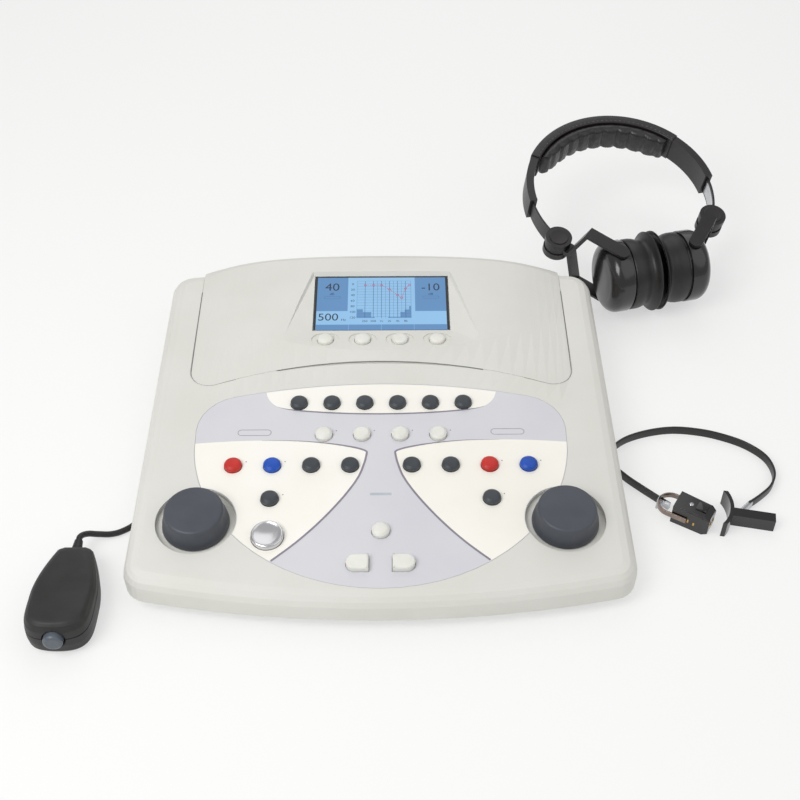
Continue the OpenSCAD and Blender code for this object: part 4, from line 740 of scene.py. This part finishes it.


# the painted seam shade follows the casing: a ray from above finds the height on either side
def makeSeal():
    meshes = []
    for name in ("top_shell", "rear_cover"):
        shape = bmesh.new()
        shape.from_mesh(nodes[name].data)
        bmesh.ops.transform(shape, matrix=nodes[name].matrix_world, verts=shape.verts)
        meshes.append(BVHTree.FromBMesh(shape))
        shape.free()
    line = sealLine()
    shape = bmesh.new()
    rows = []
    for i, point in enumerate(line):
        a, b = Vector(line[max(i - 1, 0)]), Vector(line[min(i + 1, len(line) - 1)])
        along = (b - a).normalized()
        row = []
        for half in (-seamShade["width"] / 2, seamShade["width"] / 2):
            x, y = point[0] + along.y * half, point[1] - along.x * half
            hits = [tree.ray_cast(Vector((x * mm, y * mm, 0.2)), Vector((0, 0, -1)))[0] for tree in meshes]
            high = max(hit.z for hit in hits if hit)
            row.append(Vector((x * mm, y * mm, high + seamShade["rise"] * mm)))
        rows.append([shape.verts.new(corner) for corner in row])
    for near, far in zip(rows, rows[1:]):
        shape.faces.new((near[0], near[1], far[1], far[0]))
    bmesh.ops.recalc_face_normals(shape, faces=shape.faces)
    linkPiece("coverSeamShade", takeShape("coverSeamShade", shape), "console", seamShadeGrey)


makeSeal()
print("cover seal laid")

# screen
screen = {"width": 121.7, "depth": 68.5, "front": 88.4, "z": 64.6, "tilt": 6.4}


def onScreen(h):
    return (Matrix.Translation((-screen["width"] / 2 * mm, screen["front"] * mm, screen["z"] * mm))
            @ Matrix.Rotation(radians(screen["tilt"]), 4, "X") @ Matrix.Translation((0, 0, h * mm)))


# shares of the window's width and depth become millimetres
def screenBox(u0, v0, u1, v1):
    return boxLoop(u0 * screen["width"], v0 * screen["depth"], u1 * screen["width"], v1 * screen["depth"])


def makeScreen():
    w, d = screen["width"], screen["depth"]
    flatPiece("screenMask", [boxLoop(0.3, 0.3, w - 0.3, d - 0.3), screenBox(0.02, 0.008, 0.98, 0.975)],
              onScreen(-0.07), blackMask)
    base = onScreen(-0.085)
    flatPiece("screenPale", [screenBox(0.015, 0.004, 0.985, 0.98)], base, lcdPale)
    blocks = [screenBox(0.02, 0.35, 0.25, 0.975), screenBox(0.75, 0.345, 0.98, 0.975)]
    for i in range(4):
        blocks.append(screenBox(0.02 + 0.24 * i + 0.0012, 0.0, 0.02 + 0.24 * (i + 1) - 0.0012, 0.105))
    bars = [(0.318, 0.222, 0.363, 0.382), (0.363, 0.222, 0.425, 0.33), (0.425, 0.222, 0.452, 0.238),
            (0.55, 0.222, 0.64, 0.238), (0.64, 0.222, 0.672, 0.33), (0.672, 0.222, 0.705, 0.375),
            (0.705, 0.222, 0.72, 0.437)]
    flatPiece("screenDeep", blocks + [screenBox(*bar) for bar in bars], onScreen(-0.08), lcdDeep)
    thin, thick = 0.18, 0.42
    gridU0, gridU1, gridV0, gridV1 = 0.318 * w, 0.72 * w, 0.222 * d, 0.91 * d
    rows = [gridV0 + (gridV1 - gridV0) * (0.5 + i) / 13.5 for i in range(14)]
    columns = [(0.318, thin), (0.378, thick), (0.44, thick), (0.47, thin), (0.5, thick), (0.53, thin),
               (0.56, thick), (0.59, thin), (0.62, thick), (0.65, thin), (0.68, thick), (0.72, thin)]
    faint = [boxLoop(gridU0, v - thin / 2, gridU1, v + thin / 2) for v in rows[1::2]]
    flatPiece("screenGridRows", faint, onScreen(-0.074), lcdLine)
    flatPiece("screenGridTens", [boxLoop(gridU0, v - thin / 2, gridU1, v + thin / 2) for v in rows[0::2]],
              onScreen(-0.073), lcdLine)
    flatPiece("screenGridColumns", [boxLoop(u * w - t / 2, gridV0, u * w + t / 2, gridV1) for u, t in columns],
              onScreen(-0.072), lcdLine)
    curve = [(0.378, 0.83), (0.44, 0.83), (0.5, 0.83), (0.56, 0.75), (0.62, 0.645), (0.65, 0.59), (0.68, 0.765),
             (0.71, 0.83)]
    marks = []
    for u, v in curve:
        marks += [circleLoop(u * w, v * d, 1.3, 20), circleLoop(u * w, v * d, 0.75, 20)]
    dashes = []
    for (u0, v0), (u1, v1) in zip(curve, curve[1:]):
        a, b = Vector((u0 * w, v0 * d)), Vector((u1 * w, v1 * d))
        gap = (b - a).normalized() * 1.3
        a, b = a + gap, b - gap
        count = max(2, round((b - a).length / 2.2))
        for k in range(count):
            p, q = a.lerp(b, (k + 0.15) / count), a.lerp(b, (k + 0.8) / count)
            dashes.append(ribbonLoop([tuple(p), tuple(q)], 0.5))
    flatPiece("screenCurve", dashes, onScreen(-0.07), lcdRed)
    flatPiece("screenMarks", marks, onScreen(-0.068), lcdRed)
    top = onScreen(-0.066)
    figures = [("40", 13.5, 0.132, 0.79), ("-10", 13.0, 0.868, 0.785), ("500", 12.5, 0.108, 0.235),
               ("Hz", 4.0, 0.222, 0.19), ("dB", 4.0, 0.13, 0.665), ("dB", 4.0, 0.868, 0.66)]
    for i, words in enumerate(["0", "20", "40", "60", "80", "100", "120"]):
        figures.append((words, 3.7, 0.286, 0.85 - 0.1035 * i))
    for words, u in zip(["250", "500", "1k", "2k", "4k", "8k"], [0.378, 0.44, 0.5, 0.56, 0.62, 0.68]):
        figures.append((words, 3.4, u, 0.165))
    for i, (words, size, u, v) in enumerate(figures):
        wordPiece("screenFigure" + str(i + 1), words, size, u * w, v * d, top, lcdInk)
    rings = []
    for u in (0.135, 0.868):
        rings += [pillLoop(u * w, 0.6 * d, 15, 3.2), pillLoop(u * w, 0.6 * d, 14.5, 2.7)]
    flatPiece("screenRings", rings, top, lcdLine)


makeScreen()
print("screen drawn")

# response handset
grip = {
    "x": -239.5, "y": -163, "width": 51, "length": 88, "height": 34, "split": 19, "seam": 0.35, "lean": 7,
    "slices": [(0, 4.5), (0.04, 2.4), (0.14, 0.6), (0.35, 0), (0.55, 0.2), (0.76, 1), (0.9, 2.8), (0.97, 5), (1, 8.5)],
    "button": 7.5, "gap": 0.9, "lead": 1.2, "well": 9,
}


def gripHalfWidth(v):
    if v < -0.1:
        return grip["width"] / 2 * max(0, 1 - ((-0.1 - v) / 0.9) ** 5) ** (1 / 3)
    return grip["width"] / 2 * (1 - 0.5 * ((v + 0.1) / 1.1) ** 1.7)


# how far the outline stands in at a share of the height
def gripInset(share):
    table = grip["slices"]
    for (a, low), (b, high) in zip(table, table[1:]):
        if share <= b:
            return low + (high - low) * (share - a) / (b - a)
    return table[-1][1]


def gripRing(share, samples=44):
    inset = gripInset(share)
    shrink = 1 - inset / (grip["length"] / 2)
    side = []
    for i in range(samples + 1):
        v = -0.9995 * cos(pi * i / samples)
        ends = max(0, v - 0.95) * 70
        side.append((max(gripHalfWidth(v) - inset - ends, 1), v * grip["length"] / 2 * shrink))
    ring = side + [(-x, y) for x, y in side[::-1]]
    lean = -radians(grip["lean"]) * max(0, share - 0.45) / 0.55
    low = Vector((grip["x"], grip["y"] - grip["length"] / 2, share * grip["height"]))
    points = []
    for x, y in ring:
        along = Vector((x, y + grip["length"] / 2, 0))
        points.append((low + Matrix.Rotation(lean, 3, "X") @ along) * mm)
    return points


def cutAway(mesh, cutter):
    piece, tool = bpy.data.objects.new("cutPiece", mesh), bpy.data.objects.new("cutTool", cutter)
    for each in (piece, tool):
        scene.collection.objects.link(each)
    cut = piece.modifiers.new("cut", "BOOLEAN")
    cut.operation, cut.solver, cut.object = "DIFFERENCE", "EXACT", tool
    bpy.context.view_layer.update()
    done = bpy.data.meshes.new_from_object(piece.evaluated_get(bpy.context.evaluated_depsgraph_get()))
    bpy.data.objects.remove(piece)
    bpy.data.objects.remove(tool)
    return done


def makeGrip():
    shares = [i / 60 for i in range(58)] + [0.965, 0.98, 0.99, 1]
    rings = [gripRing(share) for share in shares]
    buttonPlace = (Matrix.Translation((grip["x"] * mm, (grip["y"] - grip["length"] / 2) * mm, grip["split"] * mm))
                   @ Matrix.Rotation(radians(-90), 4, "X"))
    r = grip["button"] + grip["gap"]
    for word, keepAbove in (("upper", True), ("lower", False)):
        shape = bmesh.new()
        loops = [[shape.verts.new(point) for point in ring] for ring in rings]
        skinRings(shape, loops)
        height = (grip["split"] + (grip["seam"] if keepAbove else -grip["seam"])) * mm
        bmesh.ops.bisect_plane(shape, geom=list(shape.verts) + list(shape.edges) + list(shape.faces),
                               plane_co=(0, 0, height), plane_no=(0, 0, 1),
                               clear_inner=keepAbove, clear_outer=not keepAbove)
        bmesh.ops.edgeloop_fill(shape, edges=[e for e in shape.edges if e.is_boundary])
        bmesh.ops.recalc_face_normals(shape, faces=shape.faces)
        wide, lead, deep = r + grip["lead"], grip["lead"], grip["well"]
        wellShape = turnedShape([(0, -12), (wide, -12), (wide, 0), (r, lead), (r, deep), (0, deep)], 72)
        mesh = cutAway(takeShape("grip", shape), takeShape("well", wellShape, buttonPlace))
        piece = linkPiece("grip_" + word, mesh, "console", handsetAbs, 38)
        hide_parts("handset_" + word)


makeGrip()
print("handset made")

# headset
headset = {"place": (261, 207, 38.7), "turn": 13, "tilt": 16, "bandY": 95, "bandRadius": 93.2, "bandThick": 7.6,
           "bandWidth": 26, "hubAngle": 30, "gap": 5, "cushion": 25, "cupDepth": 24, "cupRadius": 34.6,
           "lipRadius": 38.6}
headPlace = (Matrix.Translation(Vector(headset["place"]) * mm) @ Matrix.Rotation(radians(headset["turn"]), 4, "Z")
             @ Matrix.Rotation(radians(headset["tilt"]), 4, "X"))
bandPlace = headPlace @ Matrix.Translation((0, headset["bandY"] * mm, 0))
mirrorX = Matrix.Scale(-1, 4, (1, 0, 0))


# the profile's height runs along the ear's own axis, outwards from the head
def earPlace(side):
    turn = Matrix.Rotation(radians(90), 4, "Y")
    return headPlace @ (turn if side > 0 else mirrorX @ turn)


cupIn = headset["gap"] / 2 + headset["cushion"]
for side, word in ((-1, "left"), (1, "right")):
    x1 = cupIn + 0.3
    x2 = x1 + headset["cupDepth"] - 1
    r = headset["cupRadius"]
    dome = [(r - 12 * (1 - cos(radians(a))), x2 - 10.8 + 10.8 * sin(radians(a))) for a in range(0, 91, 6)]
    profile = ([(0, x1), (r - 2.4, x1), (r - 2.4, x1 + 1.6), (r - 0.9, x1 + 1.6), (r - 0.25, x1 + 1.85),
                (r, x1 + 2.6)] + dome
               + [(r - 13.2, x2 + 0.28), (12, x2 + 0.75), (0, x2 + 1)])
    mesh = sidedMesh("cup_" + word, turnedShape(profile, 112), earPlace(side), side)
    piece = linkPiece("shell_cup_" + word, mesh, "ear_" + word, cupAbs, 30)
    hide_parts("cup_" + word)
    x0, d, lip = headset["gap"] / 2, headset["cushion"], headset["lipRadius"]
    profile = [(20, x0 + d), (r - 1.6, x0 + d), (r - 0.8, x0 + d - 0.5), (r - 0.5, x0 + d - 1.6),
               (r - 0.5, x0 + d - 7), (r - 1, x0 + d - 10), (r - 2, x0 + d - 13), (r - 3, x0 + 9),
               (r - 3.1, x0 + 7.4), (r - 2.5, x0 + 5.6), (r - 1, x0 + 4.1), (r + 1.4, x0 + 2.8),
               (lip - 0.9, x0 + 1.9), (lip - 0.1, x0 + 1.1), (lip - 0.2, x0 + 0.4), (lip - 1, x0 + 0.05),
               (lip - 2.6, x0 + 0.5), (lip - 5, x0 + 1.5), (30, x0 + 4.2), (26.4, x0 + 8), (23.4, x0 + 12),
               (21.2, x0 + 17), (20.2, x0 + 22)]
    mesh = sidedMesh("cushion_" + word, turnedShape(profile + profile[:1], 112), earPlace(side), side)
    piece = linkPiece("soft_cushion_" + word, mesh, "ear_" + word, cushionRubber, 50)
    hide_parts("cushion_" + word)
print("ear cups and cushions made")

pad = {"halfAngle": 51, "thick": 13, "gathers": 10, "sleeve": 1.2, "steps": 220, "seed": 4}


# the gathered pad under the band: a swept oval drawn in at the channels
def makePad():
    outer = headset["bandRadius"] - headset["bandThick"] / 2 - pad["sleeve"] - 0.1
    halfWidth = headset["bandWidth"] / 2 + pad["sleeve"]
    shape = bmesh.new()
    bmesh.ops.create_circle(shape, cap_ends=True, segments=48, radius=1)
    for vert in shape.verts:
        x, y = vert.co.x, vert.co.y
        flat = max(abs(x), abs(y)) ** -0.45
        vert.co = Vector(((outer - (y * flat * 0.5 + 0.5) * pad["thick"]) * mm, 0, x * flat * halfWidth * mm))
    start = Matrix.Rotation(radians(90 - pad["halfAngle"]), 4, "Z")
    bmesh.ops.transform(shape, matrix=start, verts=shape.verts)
    sweepSection(shape, radians(2 * pad["halfAngle"]), pad["steps"])
    for vert in shape.verts:
        angle = atan2(vert.co.y, vert.co.x) - radians(90)
        radius = sqrt(vert.co.x ** 2 + vert.co.y ** 2) / mm
        across = vert.co.z / mm / halfWidth
        share = angle / radians(pad["halfAngle"])
        full = max(0, 1 - abs(share) ** 7) ** 0.4
        wander = noise.noise(Vector((share * 9, across * 1.4, pad["seed"]))) * 0.9
        gather = 0.5 + 0.5 * cos(share * pad["gathers"] * pi + wander)
        crease = 1 - (1 - gather) ** 3 * 0.16
        wrinkle = noise.noise(Vector((share * 60, across * 3, 7 + pad["seed"]))) * 0.35
        reach = outer - radius
        depth = reach * (0.3 + 0.7 * full) * crease * (0.97 + 0.02 * wrinkle) + wrinkle * 0.6 * min(1, reach / 5)
        radius = outer - max(depth, 0)
        width = (0.86 + 0.14 * full) * (0.955 + 0.035 * gather)
        turned = angle + radians(90)
        vert.co = Vector((radius * cos(turned) * mm, radius * sin(turned) * mm, vert.co.z * width))
    bmesh.ops.recalc_face_normals(shape, faces=shape.faces)
    mesh = takeShape("padLeather", shape, bandPlace)
    piece = linkPiece("gatheredPad", mesh, "headband", padLeather, 60)
    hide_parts("headband_pad")


makePad()

sleeve = {"halfAngle": 54, "thick": 1.2, "stitch": 2.6, "pitch": 5.2, "inset": 2.4}


# the leather sleeve round the band, closed below the pad, with its two seams
def makeSleeve():
    inner = headset["bandRadius"] - headset["bandThick"] / 2 - sleeve["thick"]
    outer = headset["bandRadius"] + headset["bandThick"] / 2 + sleeve["thick"]
    half = headset["bandWidth"] / 2 + sleeve["thick"]
    shape = bmesh.new()
    bmesh.ops.create_grid(shape, x_segments=1, y_segments=1, size=0.5)
    for vert in shape.verts:
        vert.co = Vector(((inner if vert.co.x < 0 else outer) * mm, 0, (half if vert.co.y > 0 else -half) * mm))
    bmesh.ops.bevel(shape, geom=list(shape.verts), offset=1.5 * mm, segments=3, profile=0.5, affect="VERTICES",
                    material=-1)
    bmesh.ops.transform(shape, matrix=Matrix.Rotation(radians(90 - sleeve["halfAngle"]), 4, "Z"), verts=shape.verts)
    sweepSection(shape, radians(2 * sleeve["halfAngle"]), 90)
    bmesh.ops.recalc_face_normals(shape, faces=shape.faces)
    mesh = takeShape("bandSleeve", shape, bandPlace)
    linkPiece("bandSleeve", mesh, "headband", sleeveLeather, 40)
    shape = bmesh.new()
    steps = round(radians(2 * sleeve["halfAngle"]) * outer / sleeve["pitch"])
    for face in (-1, 1):
        for i in range(steps):
            angle = radians(90 - sleeve["halfAngle"]) + radians(2 * sleeve["halfAngle"]) * (i + 0.5) / steps
            place = (Matrix.Rotation(angle, 4, "Z")
                     @ Matrix.Translation(((inner + sleeve["inset"]) * mm, 0, face * half * mm))
                     @ Matrix.Diagonal((0.42 * mm, sleeve["stitch"] / 2 * mm, 0.3 * mm, 1)))
            bmesh.ops.create_icosphere(shape, subdivisions=1, radius=1, matrix=place)
    mesh = takeShape("bandStitches", shape, bandPlace)
    linkPiece("bandStitches", mesh, "headband", sewingThread, 180)


makeSleeve()
print("pad and sleeve made")

# raised discs on the two folding hubs
hub = {"half": 10, "disc": 9.2, "rise": 0.9}
for side, word in ((-1, "left"), (1, "right")):
    angle = -radians(headset["hubAngle"])
    middle = Matrix.Rotation(angle, 4, "Z") @ Matrix.Translation((headset["bandRadius"] * mm, 0, 0))
    place = (bandPlace if side > 0 else bandPlace @ mirrorX) @ middle
    profile = ([(0, hub["half"] - 0.4), (hub["disc"], hub["half"] - 0.4)]
               + arcPoints((hub["disc"] - 0.5, hub["half"] + hub["rise"] - 0.5), 0.5, 0, 90, 4)
               + [(hub["disc"] - 1.4, hub["half"] + hub["rise"] - 0.15), (0, hub["half"] + hub["rise"] - 0.2)])
    mesh = sidedMesh("hubDisc", turnedShape(profile, 64), place, side)
    linkPiece("hubDisc_" + word, mesh, "slider_" + word, bandNylon, 40)
print("hub discs made")

# the bare spring strip that shows on the inside of the sliders
bareStrip = {"thick": 0.3, "width": 15, "inset": 1.0, "start": -20, "sweep": 19, "steps": 16}
for side, word in ((-1, "left"), (1, "right")):
    shape = bmesh.new()
    bmesh.ops.create_grid(shape, x_segments=1, y_segments=1, size=0.5,
                          matrix=Matrix.Diagonal((bareStrip["thick"] * mm, bareStrip["width"] * mm, 1, 1)))
    bmesh.ops.rotate(shape, verts=shape.verts, cent=(0, 0, 0), matrix=Matrix.Rotation(radians(90), 3, "X"))
    bmesh.ops.translate(shape, verts=shape.verts, vec=((headset["bandRadius"] - bareStrip["inset"]) * mm, 0, 0))
    bmesh.ops.rotate(shape, verts=shape.verts, cent=(0, 0, 0),
                     matrix=Matrix.Rotation(radians(bareStrip["start"]), 3, "Z"))
    sweepSection(shape, radians(bareStrip["sweep"]), bareStrip["steps"])
    bmesh.ops.recalc_face_normals(shape, faces=shape.faces)
    mesh = sidedMesh("bareStrip", shape, bandPlace if side > 0 else bandPlace @ mirrorX, side)
    linkPiece("bareStrip_" + word, mesh, "slider_" + word, springSteel, 40)

# bone conduction set
# a strip on its edge along (x, y) points, with rounded edges
def edgeStrip(name, points, low, height, thick, material, rounded):
    shape = bmesh.new()
    rows = []
    section = []
    for cx, cz, start in ((thick / 2 - rounded, height - rounded, 0), (-thick / 2 + rounded, height - rounded, 90),
                          (-thick / 2 + rounded, rounded, 180), (thick / 2 - rounded, rounded, 270)):
        section += arcPoints((cx, cz), rounded, start, start + 90, 3)
    for i, point in enumerate(points):
        a, b = Vector(points[max(i - 1, 0)]), Vector(points[min(i + 1, len(points) - 1)])
        along = (b - a).normalized()
        rows.append([shape.verts.new(((point[0] + along.y * x) * mm, (point[1] - along.x * x) * mm, (low + z) * mm))
                     for x, z in section])
    skinRings(shape, rows)
    bmesh.ops.recalc_face_normals(shape, faces=shape.faces)
    return linkPiece(name, takeShape(name, shape), "bone_set", material, 40)


boneSet = {
    "route": [(304, -66), (316, -57), (327, -46), (333, -31), (330, -13), (317, 2), (300, 12), (280, 19),
              (256, 22), (232, 18), (211, 9), (197.5, -5), (197, -20), (206, -34), (217, -46), (229, -58),
              (235, -64)],
    "rivetPlate": [(232, -61.5), (238, -67)], "armClip": [(294.2, -76), (300, -70), (306, -64.5)],
    "thick": 2, "height": 8, "forkHalf": 10, "forkThick": 1.4, "forkHeight": 5, "forkBack": 19, "forkReach": 4.9,
}
vibrator = {"x": 254.5, "y": -80, "turn": -32, "length": 32, "height": 19}


def makeBoneSet():
    form = boneSet
    sleeve = edgeStrip("springSleeve", smoothLine(form["route"], 6), 0, form["height"], form["thick"], sleevePvc, 0.6)
    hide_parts("bone_band")
    edgeStrip("rivetPlate", form["rivetPlate"], 0.6, form["height"] - 1.2, form["thick"] + 1.6, springSteel, 0.4)
    edgeStrip("armClip", smoothLine(form["armClip"], 6), 0.8, form["height"] - 1.6, form["thick"] + 1.4, springSteel,
              0.4)
    turn = radians(vibrator["turn"])
    centre = Vector((vibrator["x"], vibrator["y"]))
    middle = form["forkHalf"] + form["forkThick"] / 2
    local = [(form["forkReach"] - 7, -middle), (-form["forkBack"], -middle)]
    local += [(-form["forkBack"] + middle * cos(radians(a)), middle * sin(radians(a))) for a in range(-100, -261, -8)]
    local += [(-form["forkBack"], middle), (form["forkReach"] - 7, middle)]
    hoop = [tuple(centre + Matrix.Rotation(turn, 2) @ Vector(p)) for p in local]
    low = vibrator["height"] / 2 - form["forkHeight"] / 2
    edgeStrip("forkHoop", hoop, low, form["forkHeight"], form["forkThick"], hoopSteel, 0.3)
    stem = [(-form["forkBack"] - middle - 0.1, -3), (-form["forkBack"] - middle - 0.1, 3)]
    foot = [tuple(centre + Matrix.Rotation(turn, 2) @ Vector(p)) for p in stem]
    edgeStrip("forkStem", foot, 1, low + form["forkHeight"] - 1, 1.6, springSteel, 0.3)


makeBoneSet()
vibratorPlace = (Matrix.Translation((vibrator["x"] * mm, vibrator["y"] * mm, 0))
                 @ Matrix.Rotation(radians(vibrator["turn"]), 4, "Z"))


def blockPiece(name, size, place, material, rounding):
    shape = bmesh.new()
    bmesh.ops.create_cube(shape, size=1, matrix=Matrix.Diagonal((size[0] * mm, size[1] * mm, size[2] * mm, 1)))
    bmesh.ops.bevel(shape, geom=list(shape.edges), offset=rounding * mm, segments=2, profile=0.5, affect="EDGES",
                    material=-1)
    mesh = takeShape(name, shape, vibratorPlace @ Matrix.Translation([v * mm for v in place]))
    return linkPiece(name, mesh, "bone_vibrator", material, 40)


# the pale clamp line on the end, the clamp's block on top, and the gold marks on the side
# each block's size, middle, finish and rounding
clampBlocks = {
    "clampLine": ((0.8, 12, 1.1), (15.8, 0.5, 15.2), springSteel, 0.3),
    "clampBlock": ((9, 9, 1.6), (6, 1, 19.5), vibratorAbs, 0.5),
    "goldMarkFar": ((1.4, 0.5, 3.2), (-1, -9.4, 9), goldPlate, 0.15),
    "goldMarkNear": ((1.4, 0.5, 3.2), (4, -9.4, 8), goldPlate, 0.15),
}
for name, block in clampBlocks.items():
    blockPiece(name, *block)
screwHead = takeShape("clampScrew", turnedShape([(0, -0.6), (1.9, -0.6), (1.9, 0.2), (1.3, 0.8), (0, 1)], 32),
                      vibratorPlace @ Matrix.Translation((-3 * mm, 0, 19.3 * mm)))
linkPiece("clampScrew", screwHead, "bone_vibrator", springSteel, 40)
for i, y in enumerate((-2.6, 2.6)):
    ring = [(1.0, -0.6), (1.9, -0.6), (1.9, 0.25), (1.7, 0.4), (1.2, 0.4), (1.0, 0.2)]
    shape = turnedShape(ring + ring[:1], 32)
    place = (vibratorPlace @ Matrix.Translation((vibrator["length"] / 2 * mm, y * mm,
                                                 (vibrator["height"] / 2 - 0.7) * mm))
             @ Matrix.Rotation(radians(90), 4, "Y"))
    mesh = takeShape("contactRing", shape, place)
    linkPiece("contactRing_" + str(i + 1), mesh, "bone_vibrator", goldPlate, 40)
print("contacts made")

# floor, lamps and background
studio = {"floor": "#F4F4F2", "key": 12.5, "fill": 3.2, "sky": 0.47, "glow": 0.55}


# 1 where a ray of one of these kinds comes, otherwise 0
def anyRay(tree, *kinds):
    seen = addNode(tree, "ShaderNodeLightPath")
    share = seen.outputs[kinds[0]]
    for kind in kinds[1:]:
        share = addNode(tree, "ShaderNodeMath", {"operation": "MAXIMUM"}, {0: share, 1: seen.outputs[kind]}).outputs[0]
    return share


def makeStudio():
    shape = bmesh.new()
    bmesh.ops.create_grid(shape, x_segments=1, y_segments=1, size=6)
    mesh = takeShape("floor", shape)
    floor = bpy.data.objects.new("floor", mesh)
    scene.collection.objects.link(floor)
    material, tree, shader, place = startMaterial("paperSweep",
                                                  {"Roughness": 0.9, "Base Color": linear(studio["floor"])})
    seen = anyRay(tree, "Is Camera Ray", "Is Glossy Ray", "Is Transmission Ray")
    share = addNode(tree, "ShaderNodeMath", {"operation": "MULTIPLY", 1: studio["glow"]}, {0: seen})
    glow = addNode(tree, "ShaderNodeEmission", {"Color": (1, 1, 1, 1), "Strength": 1.0})
    mixed = addNode(tree, "ShaderNodeMixShader", links={0: share.outputs[0], 1: shader.outputs["BSDF"],
                                                        2: glow.outputs["Emission"]})
    tree.links.new(mixed.outputs["Shader"], tree.nodes["Material Output"].inputs["Surface"])
    mesh.materials.append(material)
    for name, place, aim, size, power in (
            ("keyLamp", (-0.75, -0.65, 1.25), (0.0, 0.05, 0.03), 0.9, studio["key"]),
            ("fillLamp", (0.95, -0.35, 1.15), (0.05, 0.0, 0.03), 1.3, studio["fill"]),
            ("rearLamp", (0.05, 1.1, 1.1), (0.0, 0.1, 0.03), 1.2, studio["fill"])):
        lamp = bpy.data.lights.new(name, "AREA")
        lamp.size = size
        lamp.energy = power
        stand = bpy.data.objects.new(name, lamp)
        stand.location = place
        stand.rotation_euler = (Vector(aim) - Vector(place)).to_track_quat("-Z", "Y").to_euler()
        scene.collection.objects.link(stand)
    world = bpy.data.worlds.new("studio")
    scene.world = world
    world.use_nodes = True
    tree = world.node_tree
    tree.nodes.clear()
    seen = anyRay(tree, "Is Camera Ray", "Is Transmission Ray")
    power = addNode(tree, "ShaderNodeMapRange", {"To Min": studio["sky"], "To Max": 1.0}, {"Value": seen})
    sky = addNode(tree, "ShaderNodeBackground", {"Color": (1, 1, 1, 1)}, {"Strength": power.outputs["Result"]})
    addNode(tree, "ShaderNodeOutputWorld", links={"Surface": sky.outputs["Background"]})


makeStudio()
print("studio lit")
